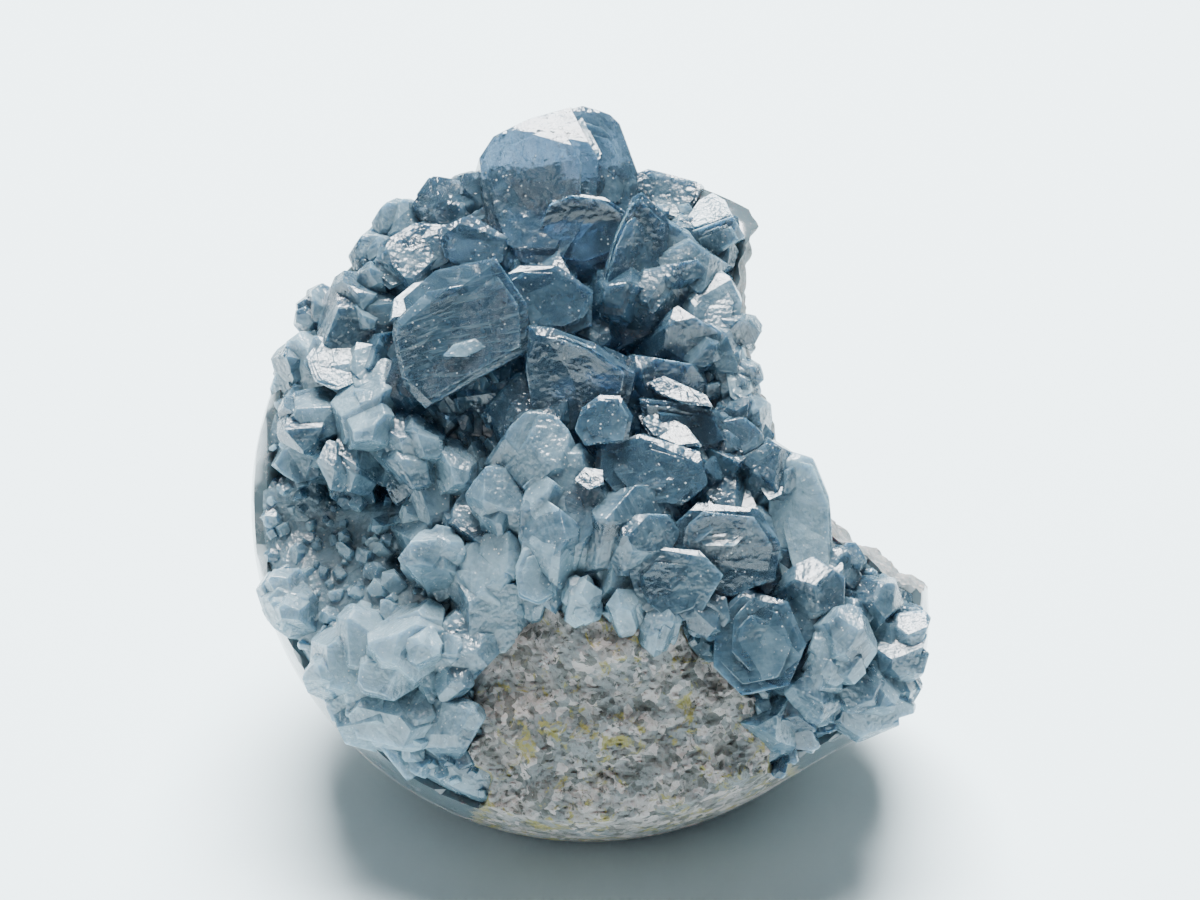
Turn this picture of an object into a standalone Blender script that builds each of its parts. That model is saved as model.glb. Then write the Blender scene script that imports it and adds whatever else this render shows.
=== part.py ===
"""Celestite geode: a polished nodule, broken open in front, lined with blue crystals.

The piece is laid out in the plane that the viewer sees, in millimetres: across to the right, up along
the picture, and toward the viewer. That plane leans back by VIEW_ELEVATION. The finished model is in
metres, +Z up, and the crystal side faces -Y.
"""

import math
import random

import bmesh
import bpy
from mathutils import Matrix, Vector, noise

MM = 0.001

# The plane that the piece is laid out in.
VIEW_ELEVATION = math.radians(30)
VIEW_DISTANCE = 400.0
ACROSS = Vector((1, 0, 0))
UP = Vector((0, math.sin(VIEW_ELEVATION), math.cos(VIEW_ELEVATION)))
TOWARD = Vector((0, -math.cos(VIEW_ELEVATION), math.sin(VIEW_ELEVATION)))

# The polished dome.
DOME_RADIUS = 47.6
DOME_DEPTH = 44.0
DOME_CENTRE = Vector((-0.3, -4.7, 43.5))
CORNER_REACH = 5.2
CORNER_ANGLE = math.radians(-29)
CORNER_SPREAD = math.radians(15)

# The concave break on the right, a cylinder along the line of sight that widens to the back.
BREAK_CENTRE = (64.0, 28.0)
BREAK_RADIUS = 42.5
BREAK_FLARE = 0.28
BREAK_ROUGHNESS = 1.3
BREAK_LUMP = 13.5

# The mound that the crystals grow on.
RIM_HEIGHT = 5.0
RIM_SLOPE = 0.14
MOUND_HEIGHT = 14.0
MOUND_HILLS = (
    # across, up, spread, height
    (-14, 29, 14, 5.0),
    (8, 4, 17, 4.0),
    (-36, -1, 9, -4.5),
    (-20, 2, 6, -3.0),
    (4, -17, 11, 5.0),
    (5, 24, 5, -4.0),
    (34, -20, 10, 4.0),
)
MOUND_LUMP = 7.0
MOUND_ROUGHNESS = 1.6
SLOPE_STEP = 1.0
CRUST_DEPTH = 5.5
RIM_WIDTH = 1.0
RIM_FALL = 5.0
RIM_PROUD = 0.5

# The rough rind patch low on the front.
PATCH_CENTRE = (4.5, -35.0)
PATCH_RADII = (20.5, 20.5)
PATCH_POWER = 3.0
PATCH_TILT = 0.22
PATCH_BLEND = 0.24
PATCH_RAGGED = 0.45
PATCH_RISE = 1.2
PATCH_ROUGHNESS = 0.9
PATCH_LUMP = 4.5
PATCH_NOISE_LEVEL = 9.0
PATCH_LINE = 0.5

# How the solids are divided and kept apart.
SHELL_DIVISIONS = 4
SHELL_REFINEMENTS = 2
CREASE_EDGE = 2.4
ROUGH_EDGE = 4.5
KIND_TOLERANCE = 0.05
CRUST_DIVISIONS = 4
BODY_HEART = Vector((-4, -7, -7))
LONGEST_RADIUS = 75.0
SEARCH_STEPS = 30
CLEARANCE = 0.42
CRUST_INSET = 1.1
MERGE_DISTANCE = 0.002
CUT_TOLERANCE = 1e-6
DOWN = Vector((0, 0, -1))

# Face directions of a celestite crystal, measured from its long, wide and thick axes.
SIDE_FACE_ANGLE = math.radians(52.1)
PRISM_FACE_ANGLE = math.radians(38.0)
CHISEL_FACE_ANGLE = math.radians(50.6)
CHISEL_RIDGE = 0.5
FACE_UNEVENNESS = 0.16
BLANK_SHARE = 4
FACE_SEED = 5

# Habits: how far out the chisel, prism and side faces stand, as shares of the crystal's half sizes.
GEM = (0.86, 1.14, 1.14)
CHISEL = (0.86, 1.40, 1.32)
TABLET = (1.05, 1.22, 1.22)
HABIT_SPREAD = 0.08

# The crystals that stand out: middle (across, up, height above the druse), growth direction, broad
# face direction, half sizes (long, wide, thick) and habit.
CRYSTALS = (
    # small ones along the edge on the right
    ((16.0, 34.5, -3.0), (0.50, 0.50, 0.60), (-0.30, -0.10, 0.90), (5.6, 4.0, 3.0), GEM),
    ((20.2, 24.0, -2.0), (0.30, 0.40, 0.80), (0.30, -0.80, 0.40), (4.6, 3.6, 3.0), GEM),
    ((20.8, 16.5, -2.0), (0.35, 0.20, 0.90), (0.30, 0.80, 0.30), (4.6, 3.4, 3.0), GEM),
    ((22.4, 11.5, -2.0), (0.35, 0.40, 0.80), (-0.30, 0.60, 0.70), (4.8, 3.6, 3.0), GEM),
    # the small pale crystals along the upper left
    ((-31.8, 28.8, 1.5), (-0.30, 0.40, 0.85), (0.50, 0.60, -0.10), (5.6, 4.4, 4.0), GEM),
    ((-30.0, 35.0, 0.0), (-0.30, 0.60, 0.70), (0.40, 0.20, 0.90), (4.6, 3.6, 3.0), GEM),
    ((-25.8, 38.6, 0.0), (-0.20, 0.80, 0.60), (0.60, 0.00, 0.80), (4.8, 3.6, 3.0), GEM),
    ((-20.4, 41.2, 0.5), (-0.25, 0.85, 0.50), (0.70, 0.20, 0.70), (5.2, 4.0, 3.2), GEM),
    ((-16.4, 42.4, 0.0), (0.30, 0.85, 0.42), (-0.50, 0.20, 0.80), (4.6, 3.6, 3.0), GEM),
    ((-36.6, 27.0, -0.5), (-0.40, 0.50, 0.75), (0.40, 0.60, 0.60), (4.6, 3.6, 3.0), GEM),
    ((-40.6, 19.5, -0.8), (-0.40, 0.30, 0.85), (0.30, 0.80, 0.50), (4.2, 3.2, 2.8), GEM),
    # between the top chunk and the tent
    ((4.5, 29.0, 1.5), (0.30, 0.30, 0.88), (-0.50, 0.70, 0.10), (6.5, 4.8, 4.0), GEM),
    ((10.0, 28.5, 0.5), (0.35, 0.60, 0.70), (0.50, -0.70, 0.45), (7.0, 5.4, 4.2), GEM),
    ((13.0, 22.5, -0.5), (0.50, 0.35, 0.75), (-0.30, -0.80, 0.50), (6.5, 5.0, 4.0), CHISEL),
    ((18.0, 21.0, -1.0), (0.25, 0.50, 0.80), (0.90, -0.10, -0.20), (6.0, 4.4, 3.6), GEM),
    # the dusty pile left of the middle
    ((-7.5, 6.0, 1.2), (0.45, 0.60, 0.60), (-0.50, -0.20, 0.80), (6.8, 5.6, 4.2), CHISEL),
    ((-1.5, 2.5, 1.8), (-0.60, 0.55, 0.50), (0.20, -0.40, 0.88), (6.8, 5.2, 4.0), CHISEL),
    ((-10.5, -0.5, 1.0), (-0.30, 0.75, 0.55), (0.60, -0.20, 0.72), (6.8, 5.0, 4.0), CHISEL),
    ((-3.5, -5.0, 1.2), (0.25, 0.80, 0.52), (-0.55, -0.10, 0.80), (7.8, 5.8, 4.4), CHISEL),
    ((-9.0, 12.5, 0.5), (0.60, 0.55, 0.55), (-0.50, 0.10, 0.80), (6.8, 5.2, 4.0), CHISEL),
    ((5.5, -3.5, 1.0), (0.20, 0.85, 0.48), (0.30, -0.50, 0.80), (7.0, 5.6, 4.2), CHISEL),
    # right of the middle
    ((16.8, -14.8, 2.2), (0.30, -0.30, 0.90), (0.90, 0.20, 0.00), (4.4, 3.4, 3.0), GEM),
    ((25.0, 3.5, -0.5), (0.25, 0.70, 0.65), (0.80, -0.40, 0.35), (7.0, 4.8, 3.8), GEM),
    ((20.5, 8.0, -1.0), (0.30, 0.75, 0.55), (-0.50, -0.20, 0.82), (6.0, 4.4, 3.6), GEM),
    ((34.5, -9.5, -1.5), (0.35, 0.70, 0.60), (-0.60, 0.20, 0.70), (5.0, 3.8, 3.2), GEM),
    # the lower right and its corner
    ((30.5, -12.5, 0.0), (0.60, 0.50, 0.60), (-0.40, 0.60, 0.60), (6.8, 5.0, 4.0), GEM),
    ((35.5, -19.5, 1.0), (0.35, 0.25, 0.88), (0.80, 0.30, -0.20), (6.2, 5.6, 4.8), GEM),
    ((39.6, -14.2, -1.5), (0.35, 0.65, 0.65), (-0.40, 0.50, 0.70), (6.2, 4.8, 4.0), GEM),
    ((42.2, -20.4, -0.8), (0.70, 0.25, 0.65), (0.10, 0.60, 0.75), (6.0, 4.8, 3.8), GEM),
    ((38.5, -25.4, 0.0), (0.60, -0.30, 0.70), (0.50, 0.70, 0.30), (5.4, 4.2, 3.4), GEM),
    ((31.5, -25.8, 0.5), (0.20, -0.30, 0.90), (0.80, 0.50, 0.20), (5.0, 4.0, 3.4), GEM),
    ((42.8, -25.2, -1.5), (0.50, -0.20, 0.80), (0.60, 0.70, 0.10), (4.6, 3.6, 3.0), GEM),
    # small pale crystals along the top of the rind patch
    ((-0.5, -13.2, 1.2), (0.15, 0.85, 0.50), (0.60, -0.20, 0.70), (4.0, 2.6, 2.2), GEM),
    ((5.5, -14.5, 1.0), (-0.25, 0.80, 0.55), (0.60, 0.20, 0.60), (4.0, 2.8, 2.4), GEM),
    ((10.0, -16.8, 1.2), (0.30, 0.80, 0.50), (-0.50, 0.10, 0.80), (3.6, 2.6, 2.2), GEM),
    # the pale cluster on the left, over its dark hollow
    ((-30.8, 13.5, 2.8), (0.25, 0.35, 0.90), (0.80, -0.50, 0.10), (7.0, 5.6, 4.6), GEM),
    ((-37.3, 12.0, 1.8), (-0.45, 0.25, 0.85), (0.30, 0.90, 0.10), (6.4, 5.0, 4.2), GEM),
    ((-33.0, 7.0, 2.5), (0.10, -0.20, 0.97), (0.90, 0.30, 0.00), (6.0, 4.8, 4.2), GEM),
    ((-25.5, 9.0, 2.0), (-0.15, 0.20, 0.95), (0.70, 0.70, 0.00), (6.0, 5.0, 4.2), GEM),
    ((-25.5, 16.5, 1.0), (0.40, 0.35, 0.85), (0.40, -0.85, 0.20), (6.2, 4.8, 4.2), GEM),
    # the pale crystals left of the middle
    ((-18.0, 5.0, 2.0), (-0.30, 0.40, 0.85), (0.60, 0.60, 0.00), (5.8, 4.4, 3.8), GEM),
    ((-21.5, 0.5, 1.5), (0.30, 0.60, 0.70), (-0.80, 0.40, 0.00), (5.0, 3.8, 3.2), GEM),
    ((-20.5, -8.0, 0.5), (-0.20, 0.65, 0.72), (0.60, 0.00, 0.70), (6.4, 4.6, 3.8), GEM),
    ((-14.5, -10.0, 1.0), (0.30, 0.75, 0.58), (-0.50, 0.10, 0.80), (7.0, 5.2, 4.2), GEM),
    ((-17.5, -20.5, 0.0), (0.55, 0.60, 0.55), (-0.50, 0.30, 0.75), (6.2, 4.8, 4.0), GEM),
    # the whitish lumps at the lower left
    ((-34.0, -21.5, 0.5), (-0.30, 0.40, 0.85), (0.40, 0.60, 0.60), (6.6, 5.4, 4.2), GEM),
    ((-25.5, -20.0, 1.0), (0.15, 0.45, 0.88), (0.60, -0.60, 0.40), (7.0, 6.0, 4.6), GEM),
    ((-27.5, -28.5, 0.5), (0.85, -0.15, 0.40), (-0.05, 0.50, 0.86), (8.0, 5.4, 3.8), GEM),
    ((-19.5, -30.0, 0.0), (0.20, 0.40, 0.88), (0.80, 0.40, 0.10), (6.0, 4.8, 4.0), GEM),
    ((-41.0, -14.5, -0.5), (-0.40, 0.40, 0.82), (0.60, 0.60, 0.00), (5.4, 4.2, 3.6), GEM),
)

# The crystals whose shape the viewer sees: how the face turned to the viewer lies (height above the
# druse, lean across, lean up, extra milk, stripes, stripe direction in degrees), then its corners,
# clockwise (across, up, width of the bevel on the edge that starts there), then any facets that cut
# it (a place on their lower edge and their lean).
FACED_CRYSTALS = (
    # the dark chunk at the top: left block, white facet, right block, dusty face below
    ((12.0, 0.14, -0.14, 0.0, 0.3, 80), (
        (-15.3, 49.7, 0.5), (-13.4, 52.6, 0.5), (-8.6, 55.0, 0.6), (-2.8, 56.7, 0.0), (1.4, 49.5, 0.0),
        (1.1, 43.1, 0.0), (-4.0, 34.3, 0.0), (-11.7, 34.3, 0.0), (-14.3, 41.0, 1.4)),
        (-9.6, 53.4, 0.05, -0.72)),
    ((12.9, 0.1, -0.78, 0.2, 0.0, 0), (
        (-3.8, 54.5, 0.0), (-1.1, 56.4, 0.0), (2.1, 49.3, 0.0), (1.0, 48.3, 0.0))),
    ((11.4, -0.2, -0.1, 0.0, 0.2, 85), (
        (-2.8, 56.0, 0.4), (-0.7, 56.8, 0.6), (3.0, 55.7, 0.7), (4.7, 54.1, 1.3), (7.1, 47.6, 0.9),
        (7.1, 43.7, 0.0), (5.4, 38.9, 0.0), (0.3, 38.9, 0.0), (-2.0, 50.2, 0.0))),
    ((6.4, 0.05, 0.16, -0.15, 0.0, 0), (
        (-7.6, 38.9, 0.5), (-5.8, 43.1, 0.6), (-2.5, 44.5, 0.5), (2.3, 43.9, 0.0), (5.9, 41.4, 0.0),
        (6.5, 38.3, 0.0), (4.2, 35.7, 0.0), (0.3, 34.2, 0.0), (-4.2, 34.6, 0.0))),
    # the dark prism right of it and the grey face behind
    ((6.2, -0.45, 0.16, -0.1, 0.1, 80), (
        (6.2, 43.7, 0.0), (7.6, 44.8, 0.6), (11.7, 40.7, 1.0), (11.3, 33.2, 0.0), (7.6, 29.0, 0.0),
        (3.4, 27.3, 0.0), (1.7, 30.7, 0.0), (3.7, 38.2, 0.0))),
    ((3.6, -0.1, -0.1, 0.15, 0.0, 0), (
        (11.3, 40.7, 0.0), (14.4, 39.0, 0.5), (17.0, 35.3, 0.0), (13.3, 31.4, 0.0), (10.7, 32.9, 0.0))),
    # the prism that points right: blue face, white facet, grey underside
    ((3.2, 0.1, -0.35, 0.05, 0.2, -15), (
        (6.8, 47.1, 0.0), (8.5, 47.8, 0.5), (16.0, 45.8, 0.0), (15.4, 43.2, 0.0), (13.1, 40.0, 0.0),
        (10.2, 41.1, 0.0), (7.2, 44.5, 0.0))),
    ((3.6, 0.12, -0.8, 0.25, 0.0, 0), (
        (15.7, 43.4, 0.0), (17.7, 44.5, 0.0), (19.4, 43.4, 0.0), (20.5, 41.0, 0.0), (14.6, 38.7, 0.0),
        (13.6, 40.0, 0.0))),
    ((3.4, 0.1, 0.35, 0.15, 0.3, 20), (
        (14.4, 38.9, 0.0), (20.5, 41.0, 0.0), (22.2, 38.2, 0.5), (17.5, 35.0, 0.0), (15.1, 36.5, 0.0))),
    # the crystal below it, with its bent white facet
    ((3.8, -0.25, -0.22, 0.1, 0.0, 0), (
        (13.1, 31.1, 0.0), (15.8, 32.4, 0.0), (18.1, 34.3, 0.0), (20.1, 32.8, 0.0), (22.0, 29.2, 0.5),
        (20.9, 23.3, 0.5), (18.7, 22.0, 0.0), (15.7, 23.3, 0.0), (13.6, 26.1, 0.0)),
        (15.0, 26.7, 0.6, -0.4), (17.5, 30.7, 0.05, -0.75)),
    ((1.8, -0.3, -0.3, 0.5, 0.0, 0), (
        (19.2, 21.8, 0.0), (22.2, 22.7, 0.5), (24.0, 15.7, 0.4), (22.0, 14.3, 0.0), (20.1, 15.7, 0.0))),
    # the blue tabular crystals at the upper left
    ((7.0, 0.12, -0.2, 0.0, 0.4, 20), (
        (-30.5, 32.9, 0.4), (-29.4, 37.4, 0.5), (-24.6, 40.4, 0.0), (-18.4, 40.0, 0.0),
        (-16.4, 36.0, 0.0), (-20.6, 34.1, 0.0), (-27.1, 30.1, 0.0)), (-23.7, 38.0, 0.15, -0.7)),
    ((7.0, -0.2, -0.06, -0.05, 0.3, -10), (
        (-21.2, 39.4, 0.8), (-16.7, 41.5, 1.0), (-11.2, 38.2, 0.6), (-11.6, 34.9, 0.0),
        (-16.7, 33.2, 0.0), (-20.1, 35.2, 0.0))),
    # the big striated crystal with its white bevel, and the smooth one right of it
    ((8.8, 0.05, 0.08, 0.05, 1.6, 20), (
        (-27.7, 24.7, 0.6), (-27.4, 28.7, 0.0), (-21.2, 34.1, 0.4), (-13.0, 35.5, 0.0),
        (-8.5, 29.0, 0.0), (-8.1, 22.5, 0.7), (-23.0, 14.3, 1.2), (-26.0, 17.1, 0.7)),
        (-26.0, 25.9, 0.52, -0.62)),
    ((6.4, -0.1, -0.02, 0.05, 0.1, 60), (
        (-12.4, 32.4, 0.0), (-9.6, 34.3, 0.6), (-4.0, 34.3, 0.5), (0.8, 30.7, 0.4), (0.6, 25.9, 0.0),
        (-4.0, 23.9, 0.0), (-8.8, 24.2, 0.0))),
    # the dark tent, the bright broken facets and the rounded crystal under it
    ((7.4, -0.12, 0.26, -0.15, 0.2, -30), (
        (-8.2, 25.7, 0.5), (-4.0, 25.2, 0.6), (1.1, 23.3, 0.7), (6.8, 19.1, 0.0), (5.9, 15.1, 0.0),
        (0.0, 10.9, 0.0), (-7.3, 12.0, 0.0), (-8.6, 18.8, 0.5))),
    ((4.6, 0.1, -0.66, 0.0, 0.6, -28), (
        (8.2, 17.9, 0.0), (10.5, 18.9, 0.0), (16.7, 16.1, 0.0), (17.7, 14.4, 0.0), (14.4, 14.6, 0.0),
        (9.9, 16.2, 0.0))),
    ((4.8, 0.05, -0.6, 0.0, 0.6, -25), (
        (7.1, 13.0, 0.0), (8.8, 14.4, 0.0), (14.4, 11.4, 0.0), (16.1, 9.0, 0.0), (13.0, 8.6, 0.0),
        (8.8, 10.5, 0.0))),
    ((3.4, -0.2, 0.2, -0.1, 0.3, -30), (
        (7.3, 15.5, 0.0), (14.4, 14.8, 0.0), (18.9, 13.4, 0.5), (20.8, 9.2, 0.0), (15.8, 7.8, 0.0),
        (8.8, 9.2, 0.0))),
    ((8.0, 0.05, -0.12, 0.05, 0.0, 0), (
        (-0.8, 14.3, 0.6), (1.8, 16.1, 0.9), (4.8, 16.0, 0.7), (6.4, 13.4, 0.5), (5.7, 9.6, 0.0),
        (-0.3, 9.0, 0.0), (-1.7, 11.3, 0.0))),
    # the broad blue face in the middle
    ((6.2, 0.08, -0.08, -0.05, 0.5, 10), (
        (1.4, 8.9, 0.7), (7.3, 10.6, 0.9), (15.8, 8.1, 0.6), (17.0, 3.5, 0.0), (13.3, 0.4, 0.5),
        (4.5, 1.1, 0.0), (1.1, 4.9, 0.0))),
    # the blue crystal right of the middle with its pale facet
    ((6.0, -0.06, 0.18, -0.12, 0.2, 0), (
        (12.6, -1.8, 0.0), (15.8, 1.0, 0.8), (24.3, 0.1, 0.7), (27.4, -4.9, 0.0), (26.6, -10.0, 0.0),
        (20.1, -12.4, 0.0), (14.4, -10.9, 0.0), (12.2, -6.1, 0.0))),
    ((6.6, 0.05, -0.6, 0.15, 0.5, 70), (
        (14.8, -2.4, 0.0), (17.2, -1.0, 0.0), (21.5, -1.3, 0.0), (22.6, -3.2, 0.0), (20.9, -5.1, 0.0),
        (16.4, -5.1, 0.0))),
    ((5.4, 0.1, 0.22, -0.1, 0.0, 0), (
        (5.7, -8.1, 0.0), (8.8, -5.1, 0.6), (15.8, -5.7, 0.0), (19.2, -9.2, 0.0), (16.1, -15.0, 0.0),
        (11.0, -16.7, 0.0), (7.3, -13.7, 0.0))),
    # the pale column on the right edge
    ((3.8, -0.3, 0.02, 0.2, 0.3, 80), (
        (25.7, 6.1, 0.6), (28.3, 8.2, 0.9), (31.9, 7.2, 0.9), (34.6, 0.7, 0.6), (35.0, -9.5, 0.0),
        (32.1, -12.3, 0.0), (27.7, -10.9, 0.0), (25.6, -2.1, 0.0))),
    # the blue crystal at the lower right
    ((6.0, -0.12, -0.05, -0.02, 0.3, 0), (
        (18.2, -15.1, 0.6), (22.2, -11.2, 1.0), (28.5, -13.1, 0.8), (31.1, -19.1, 0.0),
        (28.5, -25.0, 0.0), (21.8, -26.3, 0.0), (17.8, -22.2, 0.0))),
    # the small pale one that stands over the rind patch
    ((6.4, -0.04, 0.0, 0.35, 0.0, 0), (
        (-10.2, -8.1, 0.5), (-9.0, -5.1, 0.7), (-6.1, -4.1, 0.7), (-4.2, -6.2, 0.5), (-4.4, -12.3, 0.0),
        (-6.8, -13.6, 0.0), (-9.7, -12.4, 0.0))),
    # the pale fluted facet on the left
    ((5.6, 0.12, -0.62, 0.1, 1.4, 75), (
        (-39.8, 21.1, 0.0), (-38.2, 23.9, 0.0), (-34.5, 25.3, 0.0), (-30.2, 24.4, 0.0),
        (-29.4, 21.9, 0.0), (-31.4, 18.2, 0.0), (-35.3, 16.5, 0.0), (-38.4, 17.7, 0.0))),
)
BACK = Vector((0, 0, -1))
FACED_ROOT = 4.0
FACED_FLARE = (math.radians(-7), math.radians(7))
FACED_BEVEL = math.radians(39)
FACED_BLANK = 60.0

# The smaller crystals between them.
DRUSE_COUNT = 64
DRUSE_MARGIN = 2.0
DRUSE_HALF_LENGTH = (2.6, 4.4)
DRUSE_SHARES = (1.0, 0.78, 0.62)
DRUSE_HABITS = (GEM, CHISEL, TABLET)
DRUSE_SINK = 0.25
DRUSE_EDGE_SHARE = 0.7
DRUSE_PATCH_SHARE = 0.3
DRUSE_LEAN = 0.75
DRUSE_SEED = 11
GOLDEN_ANGLE = math.pi * (3 - math.sqrt(5))

STONE_COLOUR = (0.42, 0.42, 0.40)
STONE_ROUGHNESS = 0.55
CELESTITE_COLOUR = (0.22, 0.33, 0.42)
CELESTITE_ROUGHNESS = 0.15


def place(across, up, toward):
    """Turn a place seen in the layout plane, in millimetres, into a point of the model in metres."""
    shrink = 1 - toward / VIEW_DISTANCE
    point = DOME_CENTRE + ACROSS * across * shrink + UP * up * shrink + TOWARD * toward
    return point * MM


def turn(across, up, toward):
    """Turn a direction of the layout plane into a direction of the model."""
    return (ACROSS * across + UP * up + TOWARD * toward).normalized()


def ease(value):
    """Go smoothly from 0 to 1 as the value does."""
    value = min(1.0, max(0.0, value))
    return value * value * (3 - 2 * value)


def outline_radius(across, up):
    """Give the dome's radius, which swells at the lower right corner."""
    off = (math.atan2(up, across) - CORNER_ANGLE) / CORNER_SPREAD
    return DOME_RADIUS + CORNER_REACH * math.exp(-off * off)


def break_distance(across, up, toward):
    """Give how far a place lies from the broken right side, positive inside the stone."""
    wander = BREAK_ROUGHNESS * noise.noise(Vector((across, up, toward)) / BREAK_LUMP)
    flare = BREAK_FLARE * max(0.0, -toward)
    off = math.hypot(across - BREAK_CENTRE[0], up - BREAK_CENTRE[1])
    return off - BREAK_RADIUS - flare + wander


def crystal_surface(across, up):
    """Give the height of the druse, without the crystals that stand on it."""
    share = math.hypot(across, up) / outline_radius(across, up)
    height = RIM_HEIGHT - RIM_SLOPE * up + MOUND_HEIGHT * math.sqrt(max(0.0, 1 - share * share))
    height += noise.noise(Vector((across, up, 0)) / MOUND_LUMP) * MOUND_ROUGHNESS
    for hill_across, hill_up, spread, rise in MOUND_HILLS:
        off = ((across - hill_across) ** 2 + (up - hill_up) ** 2) / spread ** 2
        height += rise * math.exp(-off)
    return height


def patch_share(across, up):
    """Give 1 well inside the rind patch and 0 outside it."""
    off_across = abs(across - PATCH_CENTRE[0]) / PATCH_RADII[0]
    off_up = abs(up - PATCH_CENTRE[1] + PATCH_TILT * (across - PATCH_CENTRE[0])) / PATCH_RADII[1]
    ragged = noise.noise(Vector((across, up, PATCH_NOISE_LEVEL)) / PATCH_LUMP) * PATCH_RAGGED
    reach = off_across ** PATCH_POWER + off_up ** PATCH_POWER + ragged
    return ease((1 - reach) / PATCH_BLEND + PATCH_LINE)


def matrix_surface(across, up):
    """Give the height of the stone's front, which the crust covers except on the rim and the patch."""
    inset = min(
        outline_radius(across, up) - math.hypot(across, up),
        break_distance(across, up, 0),
    )
    under_crust = ease((inset - RIM_WIDTH) / RIM_FALL)
    patch = patch_share(across, up)
    lump = noise.noise(Vector((across, up, 0)) / PATCH_LUMP) * PATCH_ROUGHNESS
    bare = max(RIM_PROUD * (1 - under_crust), patch * PATCH_RISE) + patch * lump
    return crystal_surface(across, up) - CRUST_DEPTH * under_crust * (1 - patch) + bare


def is_inside(point, front, margin):
    """Tell whether a layout point lies in the nodule, kept a margin inside its dome and break."""
    across, up, toward = point
    radius = outline_radius(across, up) - margin
    depth = radius if toward > 0 else DOME_DEPTH - margin
    if (across ** 2 + up ** 2) / radius ** 2 + (toward / depth) ** 2 > 1:
        return False
    return toward < front(across, up) and break_distance(across, up, toward) > margin


def surface_point(direction, front, margin):
    """Walk out from the body's heart to its surface."""
    near, far = 0.0, LONGEST_RADIUS
    for _ in range(SEARCH_STEPS):
        middle = (near + far) / 2
        if is_inside(BODY_HEART + direction * middle, front, margin):
            near = middle
        else:
            far = middle
    return BODY_HEART + direction * near


def surface_kind(point):
    """Tell which surface of the stone a point lies on."""
    across, up, toward = point
    if break_distance(across, up, toward) < KIND_TOLERANCE:
        return "break"
    if toward > matrix_surface(across, up) - KIND_TOLERANCE:
        return "patch" if patch_share(across, up) > PATCH_LINE else "front"
    return "dome"


def needs_finer(start, end):
    """Tell whether an edge of the stone crosses a crease or is a long one on the rind or the break."""
    kinds = {surface_kind(start), surface_kind(end)}
    length = (end - start).length
    if len(kinds) > 1:
        return length > CREASE_EDGE
    return kinds <= {"break", "patch"} and length > ROUGH_EDGE


def cut(bm, normal, distance):
    """Cut a solid with one flat face, at a distance from the origin along its normal, and close it."""
    whole = bm.verts[:] + bm.edges[:] + bm.faces[:]
    bmesh.ops.bisect_plane(
        bm, geom=whole, dist=CUT_TOLERANCE, plane_co=normal * distance, plane_no=normal, clear_outer=True)
    rim = [edge for edge in bm.edges if edge.is_boundary]
    if rim:
        bmesh.ops.holes_fill(bm, edges=rim)


def star_body(divisions, front, margin, is_fine=None):
    """Shape an icosphere into the nodule under a given front, in layout millimetres."""
    bm = bmesh.new()
    bmesh.ops.create_icosphere(bm, subdivisions=divisions, radius=1)
    for vert in bm.verts:
        vert.co = surface_point(vert.co.normalized(), front, margin)
    for _ in range(SHELL_REFINEMENTS if is_fine else 0):
        marked = [edge for edge in bm.edges if is_fine(*(vert.co for vert in edge.verts))]
        split = bmesh.ops.subdivide_edges(bm, edges=marked, cuts=1)
        for vert in split["geom_inner"]:
            if isinstance(vert, bmesh.types.BMVert):
                vert.co = surface_point((vert.co - BODY_HEART).normalized(), front, margin)
        bmesh.ops.triangulate(bm, faces=bm.faces)
    for vert in bm.verts:
        vert.co = place(*vert.co)
    cut(bm, DOWN, -margin * MM)
    return bm


def finish_mesh(bm, name):
    """Clean a mesh, turn its faces out and keep it under the given name."""
    bmesh.ops.remove_doubles(bm, verts=bm.verts, dist=MERGE_DISTANCE * MM)
    bmesh.ops.recalc_face_normals(bm, faces=bm.faces)
    mesh = bpy.data.meshes.new(name)
    bm.to_mesh(mesh)
    bm.free()
    return mesh


def set_down(bm, across, up, toward, axes):
    """Put a crystal made in millimetres at its place on the geode, along the given axes."""
    scale = MM * (1 - toward / VIEW_DISTANCE)
    basis = Matrix(axes).transposed().to_4x4()
    bmesh.ops.transform(
        bm, matrix=Matrix.Translation(place(across, up, toward)) @ basis @ Matrix.Scale(scale, 4),
        verts=bm.verts)


def uneven(chance, distance):
    """Shift one face of a crystal in or out a little."""
    return distance * (1 + chance.uniform(-FACE_UNEVENNESS, FACE_UNEVENNESS))


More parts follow.
